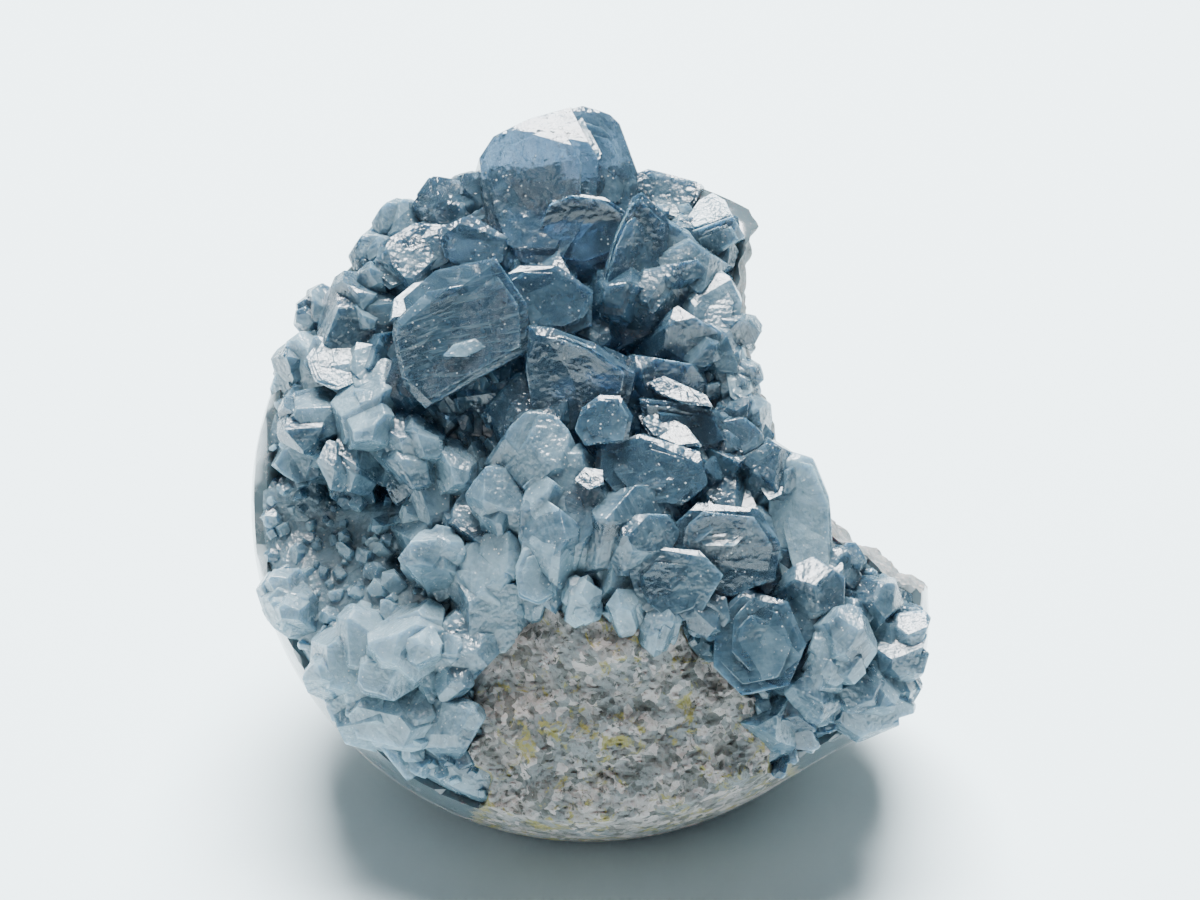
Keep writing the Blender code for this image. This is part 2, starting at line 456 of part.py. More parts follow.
def crystal(chance, middle, growth, broad, half_sizes, habit):
    """Make one crystal from its five kinds of face, in a habit of its own and none quite like its twin."""
    long, wide, thick = half_sizes
    chisel_share, prism_share, side_share = (
        share * (1 + chance.uniform(-HABIT_SPREAD, HABIT_SPREAD)) for share in habit)
    chisel_reach = (long * chisel_share + thick * CHISEL_RIDGE) * math.cos(CHISEL_FACE_ANGLE)
    prism_reach = long * prism_share * math.cos(PRISM_FACE_ANGLE)
    side_reach = wide * side_share * math.sin(SIDE_FACE_ANGLE)
    bm = bmesh.new()
    bmesh.ops.create_cube(bm, size=BLANK_SHARE * max(half_sizes))
    for side in (1, -1):
        cut(bm, Vector((0, 0, side)), uneven(chance, thick))
        cut(bm, Vector((0, side, 0)), uneven(chance, wide))
        for other in (1, -1):
            side_face = Vector((0, side * math.sin(SIDE_FACE_ANGLE), other * math.cos(SIDE_FACE_ANGLE)))
            prism_face = Vector((side * math.cos(PRISM_FACE_ANGLE), other * math.sin(PRISM_FACE_ANGLE), 0))
            chisel_face = Vector((side * math.cos(CHISEL_FACE_ANGLE), 0, other * math.sin(CHISEL_FACE_ANGLE)))
            cut(bm, side_face, uneven(chance, side_reach))
            cut(bm, prism_face, uneven(chance, prism_reach))
            cut(bm, chisel_face, uneven(chance, chisel_reach))
    across, up, height = middle
    along = turn(*growth)
    wide_way = turn(*broad).cross(along).normalized()
    toward = crystal_surface(across, up) + height
    set_down(bm, across, up, toward, (along, wide_way, along.cross(wide_way)))
    return finish_mesh(bm, "crystal")


def faced_crystal(chance, face, outline, *facets):
    """Make a crystal from the outline and the lean of the face that it turns to the viewer."""
    height, lean_across, lean_up = face[:3]
    middle = [sum(corner[axis] for corner in outline) / len(outline) for axis in range(2)]
    bm = bmesh.new()
    bmesh.ops.create_cube(bm, size=FACED_BLANK)
    cut(bm, Vector((-lean_across, -lean_up, 1)).normalized(), 0.0)
    cut(bm, BACK, height + FACED_ROOT)
    for start, end in zip(outline, outline[1:] + outline[:1]):
        out = Vector((start[1] - end[1], end[0] - start[0], 0)).normalized()
        spot = Vector(((start[0] + end[0]) / 2 - middle[0], (start[1] + end[1]) / 2 - middle[1], 0))
        spot.z = lean_across * spot.x + lean_up * spot.y
        flare = chance.uniform(*FACED_FLARE)
        wall = out * math.cos(flare) + Vector((0, 0, math.sin(flare)))
        cut(bm, wall, wall.dot(spot))
        if start[2] > 0:
            inner = spot - out * start[2]
            inner.z = lean_across * inner.x + lean_up * inner.y
            bevel = out * math.sin(FACED_BEVEL) + Vector((0, 0, math.cos(FACED_BEVEL)))
            cut(bm, bevel, bevel.dot(inner))
    for across, up, facet_across, facet_up in facets:
        spot = Vector((across - middle[0], up - middle[1], 0))
        spot.z = lean_across * spot.x + lean_up * spot.y
        facet = Vector((-facet_across, -facet_up, 1)).normalized()
        cut(bm, facet, facet.dot(spot))
    set_down(bm, *middle, crystal_surface(*middle) + height, (ACROSS, UP, TOWARD))
    return finish_mesh(bm, "crystal")


def surface_normal(across, up):
    """Give the direction in which the druse faces at a place."""
    slope_across = crystal_surface(across + SLOPE_STEP, up) - crystal_surface(across - SLOPE_STEP, up)
    slope_up = crystal_surface(across, up + SLOPE_STEP) - crystal_surface(across, up - SLOPE_STEP)
    return Vector((-slope_across, -slope_up, 2 * SLOPE_STEP)).normalized()


def druse_crystals():
    """Scatter the smaller crystals in a sunflower pattern over the crust."""
    chance = random.Random(DRUSE_SEED)
    meshes = []
    for index in range(DRUSE_COUNT):
        reach = (DOME_RADIUS - DRUSE_MARGIN) * math.sqrt((index + 0.5) / DRUSE_COUNT)
        across = reach * math.cos(index * GOLDEN_ANGLE)
        up = reach * math.sin(index * GOLDEN_ANGLE)
        jitter = Vector([chance.uniform(-1, 1) for _ in range(3)])
        roll = Vector([chance.uniform(-1, 1) for _ in range(3)])
        half_length = chance.uniform(*DRUSE_HALF_LENGTH)
        edge = min(DOME_RADIUS - reach, break_distance(across, up, 0))
        if edge < half_length * DRUSE_EDGE_SHARE or patch_share(across, up) > DRUSE_PATCH_SHARE:
            continue
        growth = (surface_normal(across, up) + jitter * DRUSE_LEAN).normalized()
        sizes = [half_length * share for share in DRUSE_SHARES]
        middle = (across, up, -half_length * DRUSE_SINK)
        meshes.append(crystal(chance, middle, growth, roll, sizes, chance.choice(DRUSE_HABITS)))
    return meshes


def combine(base, operands, operation):
    """Apply one exact Boolean of a mesh with a list of meshes, and give the result as a mesh."""
    group = bpy.data.collections.new("operands")
    bpy.context.scene.collection.children.link(group)
    helpers = []
    for mesh in operands:
        helper = bpy.data.objects.new("operand", mesh)
        group.objects.link(helper)
        helpers.append(helper)
    target = bpy.data.objects.new("target", base)
    bpy.context.scene.collection.objects.link(target)
    boolean = target.modifiers.new("combine", "BOOLEAN")
    boolean.operation = operation
    boolean.operand_type = "COLLECTION"
    boolean.collection = group
    boolean.solver = "EXACT"
    bpy.context.view_layer.update()
    depsgraph = bpy.context.evaluated_depsgraph_get()
    result = bpy.data.meshes.new_from_object(target.evaluated_get(depsgraph))
    for helper in helpers + [target]:
        bpy.data.objects.remove(helper)
    bpy.data.collections.remove(group)
    return result


def keep_largest_body(mesh):
    """Drop the crumbs that a cut leaves beside the main body."""
    bm = bmesh.new()
    bm.from_mesh(mesh)
    bmesh.ops.triangulate(bm, faces=bm.faces)
    bmesh.ops.remove_doubles(bm, verts=bm.verts, dist=MERGE_DISTANCE * MM)
    unseen = set(bm.faces)
    bodies = []
    while unseen:
        body = set()
        front = [unseen.pop()]
        while front:
            face = front.pop()
            body.add(face)
            for edge in face.edges:
                for other in edge.link_faces:
                    if other in unseen:
                        unseen.discard(other)
                        front.append(other)
        bodies.append(body)
    bodies.sort(key=lambda body: sum(face.calc_area() for face in body))
    crumbs = [face for body in bodies[:-1] for face in body]
    bmesh.ops.delete(bm, geom=crumbs, context="FACES")
    bm.to_mesh(mesh)
    bm.free()


def build_shell():
    """Make the stone, and the same shape grown by the clearance, for parting the crust from it."""
    shell = finish_mesh(star_body(SHELL_DIVISIONS, matrix_surface, 0.0, needs_finer), "shell")
    grown = shell.copy()
    offsets = [vert.normal * CLEARANCE * MM for vert in grown.vertices]
    for vert, offset in zip(grown.vertices, offsets):
        vert.co += offset
    return shell, grown


def build_crust(grown_shell):
    """Fuse the druse sheet and all the crystals, and part them from the stone."""
    sheet = finish_mesh(star_body(CRUST_DIVISIONS, crystal_surface, CRUST_INSET), "sheet")
    standing = []
    for shape, entries in ((crystal, CRYSTALS), (faced_crystal, FACED_CRYSTALS)):
        standing += [shape(random.Random(FACE_SEED + index), *entry) for index, entry in enumerate(entries)]
    standing += druse_crystals()
    fused = combine(sheet, standing, "UNION")
    crust = combine(fused, [grown_shell], "DIFFERENCE")
    keep_largest_body(crust)
    return crust


def make_material(name, colour, roughness):
    """Make a plain material for one node."""
    material = bpy.data.materials.new(name)
    material.use_nodes = True
    shader = material.node_tree.nodes["Principled BSDF"]
    shader.inputs["Base Color"].default_value = (*colour, 1)
    shader.inputs["Roughness"].default_value = roughness
    shader.inputs["Metallic"].default_value = 0
    return material


def add_node(name, mesh, material):
    """Add one finished sub-part to the scene."""
    mesh.name = name
    mesh.materials.clear()
    mesh.materials.append(material)
    node = bpy.data.objects.new(name, mesh)
    bpy.context.scene.collection.objects.link(node)


def main():
    for old in list(bpy.data.objects):
        bpy.data.objects.remove(old)
    shell, grown = build_shell()
    crust = build_crust(grown)
    add_node("matrix_shell", shell, make_material("matrix_stone", STONE_COLOUR, STONE_ROUGHNESS))
    add_node("crystal_crust", crust, make_material("celestite", CELESTITE_COLOUR, CELESTITE_ROUGHNESS))


if __name__ == "__main__":
    main()
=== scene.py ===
"""Looks of the celestite geode: stone, crystal crust, and the small stage that they are seen on.

The piece is laid out in the plane that the viewer sees, in millimetres: across to the right, up along
the picture, and toward the viewer. That plane leans back by VIEW_ELEVATION.
"""

import math
import random

import bmesh
import bpy
from mathutils import Matrix, Vector, noise


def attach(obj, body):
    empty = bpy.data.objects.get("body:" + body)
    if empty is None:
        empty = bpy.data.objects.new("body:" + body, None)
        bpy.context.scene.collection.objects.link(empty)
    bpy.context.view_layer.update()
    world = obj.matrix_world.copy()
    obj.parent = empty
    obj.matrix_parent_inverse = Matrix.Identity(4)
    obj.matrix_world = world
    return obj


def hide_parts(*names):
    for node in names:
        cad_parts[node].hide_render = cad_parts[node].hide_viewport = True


bl_info = {
    "name": "Celestite Geode",
    "version": (1, 0, 0),
    "blender": (4, 5, 0),
    "location": "3D View > Sidebar > Geode",
    "description": "Builds a polished celestite geode with its crystals, rind and a plain stage",
    "category": "Add Mesh",
}

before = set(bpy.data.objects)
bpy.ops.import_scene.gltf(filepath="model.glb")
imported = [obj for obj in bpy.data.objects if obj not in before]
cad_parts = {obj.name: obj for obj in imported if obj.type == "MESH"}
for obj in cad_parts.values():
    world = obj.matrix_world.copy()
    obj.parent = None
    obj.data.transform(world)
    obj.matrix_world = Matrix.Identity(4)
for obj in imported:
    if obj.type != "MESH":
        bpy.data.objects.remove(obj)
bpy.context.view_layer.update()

MM = 0.001

# The plane that the piece is laid out in.
VIEW_ELEVATION = math.radians(30)
VIEW_DISTANCE = 400.0
ACROSS = Vector((1, 0, 0))
UP = Vector((0, math.sin(VIEW_ELEVATION), math.cos(VIEW_ELEVATION)))
TOWARD = Vector((0, -math.cos(VIEW_ELEVATION), math.sin(VIEW_ELEVATION)))
DOWN = Vector((0, 0, -1))

# The polished dome.
DOME_RADIUS = 47.6
DOME_DEPTH = 44.0
DOME_CENTRE = Vector((-0.3, -4.7, 43.5))
DOME_DIVISIONS = 6
CORNER_REACH = 5.2
CORNER_ANGLE = math.radians(-29)
CORNER_SPREAD = math.radians(15)

# The concave break on the right, a cylinder along the line of sight that widens to the back.
BREAK_CENTRE = (64.0, 28.0)
BREAK_RADIUS = 42.5
BREAK_FLARE = 0.28
BREAK_ROUGHNESS = 1.3
BREAK_LUMP = 13.5
BREAK_ANGLES = (math.radians(96), math.radians(264))
BREAK_SPAN = (-50.0, 46.0)

# The mound that the crystals grow on.
RIM_HEIGHT = 5.0
RIM_SLOPE = 0.14
MOUND_HEIGHT = 14.0
MOUND_HILLS = (
    # across, up, spread, height
    (-14, 29, 14, 5.0),
    (8, 4, 17, 4.0),
    (-36, -1, 9, -4.5),
    (-20, 2, 6, -3.0),
    (4, -17, 11, 5.0),
    (5, 24, 5, -4.0),
    (34, -20, 10, 4.0),
)
MOUND_LUMP = 7.0
MOUND_ROUGHNESS = 1.6
SLOPE_STEP = 1.0
CRUST_DEPTH = 5.5
CRUST_INSET = 1.1
RIM_WIDTH = 1.0
RIM_FALL = 5.0
RIM_PROUD = 0.5
FRONT_HALF = 58.0
FAR = 90.0

# The rough rind patch low on the front.
PATCH_CENTRE = (4.5, -35.0)
PATCH_RADII = (20.5, 20.5)
PATCH_POWER = 3.0
PATCH_TILT = 0.22
PATCH_BLEND = 0.24
PATCH_RAGGED = 0.45
PATCH_RISE = 1.2
PATCH_ROUGHNESS = 0.9
PATCH_LUMP = 4.5
PATCH_NOISE_LEVEL = 9.0
PATCH_LINE = 0.5

# The fine relief of the rind and of the broken side: feature sizes in millimetres, then shares.
# The twist has a seed, because its noise starts from the clock without one.
RIND_TWIST_SEED = 1795603160
RIND_TWIST_SIZE = 2.8
RIND_TWIST = 1.6
RIND_FLAKE_SIZE = 1.5
RIND_LUMP_SIZE = 3.2
RIND_PIT_SIZE = 0.6
RIND_FLAKE_MEAN = 0.3
RIND_FLAKES = 1.3
RIND_LUMPS = 1.2
RIND_PITS = 0.5
BREAK_CHIP_SIZE = 3.2
BREAK_CRUMB_SIZE = 0.9
BREAK_LUMP_SIZE = 5.5
BREAK_CHIP_MEAN = 0.45
BREAK_CHIPS = 1.2
BREAK_CRUMBS = 0.35
BREAK_LUMPS = 0.8

# Mesh sizes of the stone's front, the druse sheet and the sheet's broken side, in millimetres.
STONE_CELL = 1.8
SHEET_CELL = 1.4
SHEET_BREAK_CELL = 1.6
STONE_CREASE = math.radians(38)

# Face directions of a celestite crystal, measured from its long, wide and thick axes.
SIDE_FACE_ANGLE = math.radians(52.1)
PRISM_FACE_ANGLE = math.radians(38.0)
CHISEL_FACE_ANGLE = math.radians(50.6)
CHISEL_RIDGE = 0.5
FACE_UNEVENNESS = 0.16
FACE_SEED = 5
BLANK_SHARE = 4
CUT_TOLERANCE = 1e-6
STRIPE_SHEAR = 0.8
STRIPE_SPREAD = 50
STRIPE_SHUFFLE = 1e4
WEAR_SHUFFLE = 1e5
CHIP_SHARES = (0.2, 1.0)

# Habits: how far out the chisel, prism and side faces stand, as shares of the crystal's half sizes.
GEM = (0.86, 1.14, 1.14)
CHISEL = (0.86, 1.40, 1.32)
BLOCK = (1.60, 1.34, 1.42)
TABLET = (1.05, 1.22, 1.22)
HABIT_SPREAD = 0.08

# The crystals that stand out: middle (across, up, height above the druse), growth direction, broad
# face direction, half sizes (long, wide, thick) and habit.
CRYSTALS = (
    # small ones along the edge on the right
    ((16.0, 34.5, -3.0), (0.50, 0.50, 0.60), (-0.30, -0.10, 0.90), (5.6, 4.0, 3.0), GEM),
    ((20.2, 24.0, -2.0), (0.30, 0.40, 0.80), (0.30, -0.80, 0.40), (4.6, 3.6, 3.0), GEM),
    ((20.8, 16.5, -2.0), (0.35, 0.20, 0.90), (0.30, 0.80, 0.30), (4.6, 3.4, 3.0), GEM),
    ((22.4, 11.5, -2.0), (0.35, 0.40, 0.80), (-0.30, 0.60, 0.70), (4.8, 3.6, 3.0), GEM),
    # the small pale crystals along the upper left
    ((-31.8, 28.8, 1.5), (-0.30, 0.40, 0.85), (0.50, 0.60, -0.10), (5.6, 4.4, 4.0), GEM),
    ((-30.0, 35.0, 0.0), (-0.30, 0.60, 0.70), (0.40, 0.20, 0.90), (4.6, 3.6, 3.0), GEM),
    ((-25.8, 38.6, 0.0), (-0.20, 0.80, 0.60), (0.60, 0.00, 0.80), (4.8, 3.6, 3.0), GEM),
    ((-20.4, 41.2, 0.5), (-0.25, 0.85, 0.50), (0.70, 0.20, 0.70), (5.2, 4.0, 3.2), GEM),
    ((-16.4, 42.4, 0.0), (0.30, 0.85, 0.42), (-0.50, 0.20, 0.80), (4.6, 3.6, 3.0), GEM),
    ((-36.6, 27.0, -0.5), (-0.40, 0.50, 0.75), (0.40, 0.60, 0.60), (4.6, 3.6, 3.0), GEM),
    ((-40.6, 19.5, -0.8), (-0.40, 0.30, 0.85), (0.30, 0.80, 0.50), (4.2, 3.2, 2.8), GEM),
    # between the top chunk and the tent
    ((4.5, 29.0, 1.5), (0.30, 0.30, 0.88), (-0.50, 0.70, 0.10), (6.5, 4.8, 4.0), GEM),
    ((10.0, 28.5, 0.5), (0.35, 0.60, 0.70), (0.50, -0.70, 0.45), (7.0, 5.4, 4.2), GEM),
    ((13.0, 22.5, -0.5), (0.50, 0.35, 0.75), (-0.30, -0.80, 0.50), (6.5, 5.0, 4.0), CHISEL),
    ((18.0, 21.0, -1.0), (0.25, 0.50, 0.80), (0.90, -0.10, -0.20), (6.0, 4.4, 3.6), GEM),
    # the dusty pile left of the middle
    ((-7.5, 6.0, 1.2), (0.45, 0.60, 0.60), (-0.50, -0.20, 0.80), (6.8, 5.6, 4.2), CHISEL),
    ((-1.5, 2.5, 1.8), (-0.60, 0.55, 0.50), (0.20, -0.40, 0.88), (6.8, 5.2, 4.0), CHISEL),
    ((-10.5, -0.5, 1.0), (-0.30, 0.75, 0.55), (0.60, -0.20, 0.72), (6.8, 5.0, 4.0), CHISEL),
    ((-3.5, -5.0, 1.2), (0.25, 0.80, 0.52), (-0.55, -0.10, 0.80), (7.8, 5.8, 4.4), CHISEL),
    ((-9.0, 12.5, 0.5), (0.60, 0.55, 0.55), (-0.50, 0.10, 0.80), (6.8, 5.2, 4.0), CHISEL),
    ((5.5, -3.5, 1.0), (0.20, 0.85, 0.48), (0.30, -0.50, 0.80), (7.0, 5.6, 4.2), CHISEL),
    # right of the middle
    ((16.8, -14.8, 2.2), (0.30, -0.30, 0.90), (0.90, 0.20, 0.00), (4.4, 3.4, 3.0), GEM),
    ((25.0, 3.5, -0.5), (0.25, 0.70, 0.65), (0.80, -0.40, 0.35), (7.0, 4.8, 3.8), GEM),
    ((20.5, 8.0, -1.0), (0.30, 0.75, 0.55), (-0.50, -0.20, 0.82), (6.0, 4.4, 3.6), GEM),
    ((34.5, -9.5, -1.5), (0.35, 0.70, 0.60), (-0.60, 0.20, 0.70), (5.0, 3.8, 3.2), GEM),
    # the lower right and its corner
    ((30.5, -12.5, 0.0), (0.60, 0.50, 0.60), (-0.40, 0.60, 0.60), (6.8, 5.0, 4.0), GEM),
    ((35.5, -19.5, 1.0), (0.35, 0.25, 0.88), (0.80, 0.30, -0.20), (6.2, 5.6, 4.8), GEM),
    ((39.6, -14.2, -1.5), (0.35, 0.65, 0.65), (-0.40, 0.50, 0.70), (6.2, 4.8, 4.0), GEM),
    ((42.2, -20.4, -0.8), (0.70, 0.25, 0.65), (0.10, 0.60, 0.75), (6.0, 4.8, 3.8), GEM),
    ((38.5, -25.4, 0.0), (0.60, -0.30, 0.70), (0.50, 0.70, 0.30), (5.4, 4.2, 3.4), GEM),
    ((31.5, -25.8, 0.5), (0.20, -0.30, 0.90), (0.80, 0.50, 0.20), (5.0, 4.0, 3.4), GEM),
    ((42.8, -25.2, -1.5), (0.50, -0.20, 0.80), (0.60, 0.70, 0.10), (4.6, 3.6, 3.0), GEM),
    # small pale crystals along the top of the rind patch
    ((-0.5, -13.2, 1.2), (0.15, 0.85, 0.50), (0.60, -0.20, 0.70), (4.0, 2.6, 2.2), GEM),
    ((5.5, -14.5, 1.0), (-0.25, 0.80, 0.55), (0.60, 0.20, 0.60), (4.0, 2.8, 2.4), GEM),
    ((10.0, -16.8, 1.2), (0.30, 0.80, 0.50), (-0.50, 0.10, 0.80), (3.6, 2.6, 2.2), GEM),
    # the pale cluster on the left, over its dark hollow
    ((-30.8, 13.5, 2.8), (0.25, 0.35, 0.90), (0.80, -0.50, 0.10), (7.0, 5.6, 4.6), GEM),
    ((-37.3, 12.0, 1.8), (-0.45, 0.25, 0.85), (0.30, 0.90, 0.10), (6.4, 5.0, 4.2), GEM),
    ((-33.0, 7.0, 2.5), (0.10, -0.20, 0.97), (0.90, 0.30, 0.00), (6.0, 4.8, 4.2), GEM),
    ((-25.5, 9.0, 2.0), (-0.15, 0.20, 0.95), (0.70, 0.70, 0.00), (6.0, 5.0, 4.2), GEM),
    ((-25.5, 16.5, 1.0), (0.40, 0.35, 0.85), (0.40, -0.85, 0.20), (6.2, 4.8, 4.2), GEM),
    # the pale crystals left of the middle
    ((-18.0, 5.0, 2.0), (-0.30, 0.40, 0.85), (0.60, 0.60, 0.00), (5.8, 4.4, 3.8), GEM),
    ((-21.5, 0.5, 1.5), (0.30, 0.60, 0.70), (-0.80, 0.40, 0.00), (5.0, 3.8, 3.2), GEM),
    ((-20.5, -8.0, 0.5), (-0.20, 0.65, 0.72), (0.60, 0.00, 0.70), (6.4, 4.6, 3.8), GEM),
    ((-14.5, -10.0, 1.0), (0.30, 0.75, 0.58), (-0.50, 0.10, 0.80), (7.0, 5.2, 4.2), GEM),
    ((-17.5, -20.5, 0.0), (0.55, 0.60, 0.55), (-0.50, 0.30, 0.75), (6.2, 4.8, 4.0), GEM),
    # the whitish lumps at the lower left
    ((-34.0, -21.5, 0.5), (-0.30, 0.40, 0.85), (0.40, 0.60, 0.60), (6.6, 5.4, 4.2), GEM),
    ((-25.5, -20.0, 1.0), (0.15, 0.45, 0.88), (0.60, -0.60, 0.40), (7.0, 6.0, 4.6), GEM),
    ((-27.5, -28.5, 0.5), (0.85, -0.15, 0.40), (-0.05, 0.50, 0.86), (8.0, 5.4, 3.8), GEM),
    ((-19.5, -30.0, 0.0), (0.20, 0.40, 0.88), (0.80, 0.40, 0.10), (6.0, 4.8, 4.0), GEM),
    ((-41.0, -14.5, -0.5), (-0.40, 0.40, 0.82), (0.60, 0.60, 0.00), (5.4, 4.2, 3.6), GEM),
)

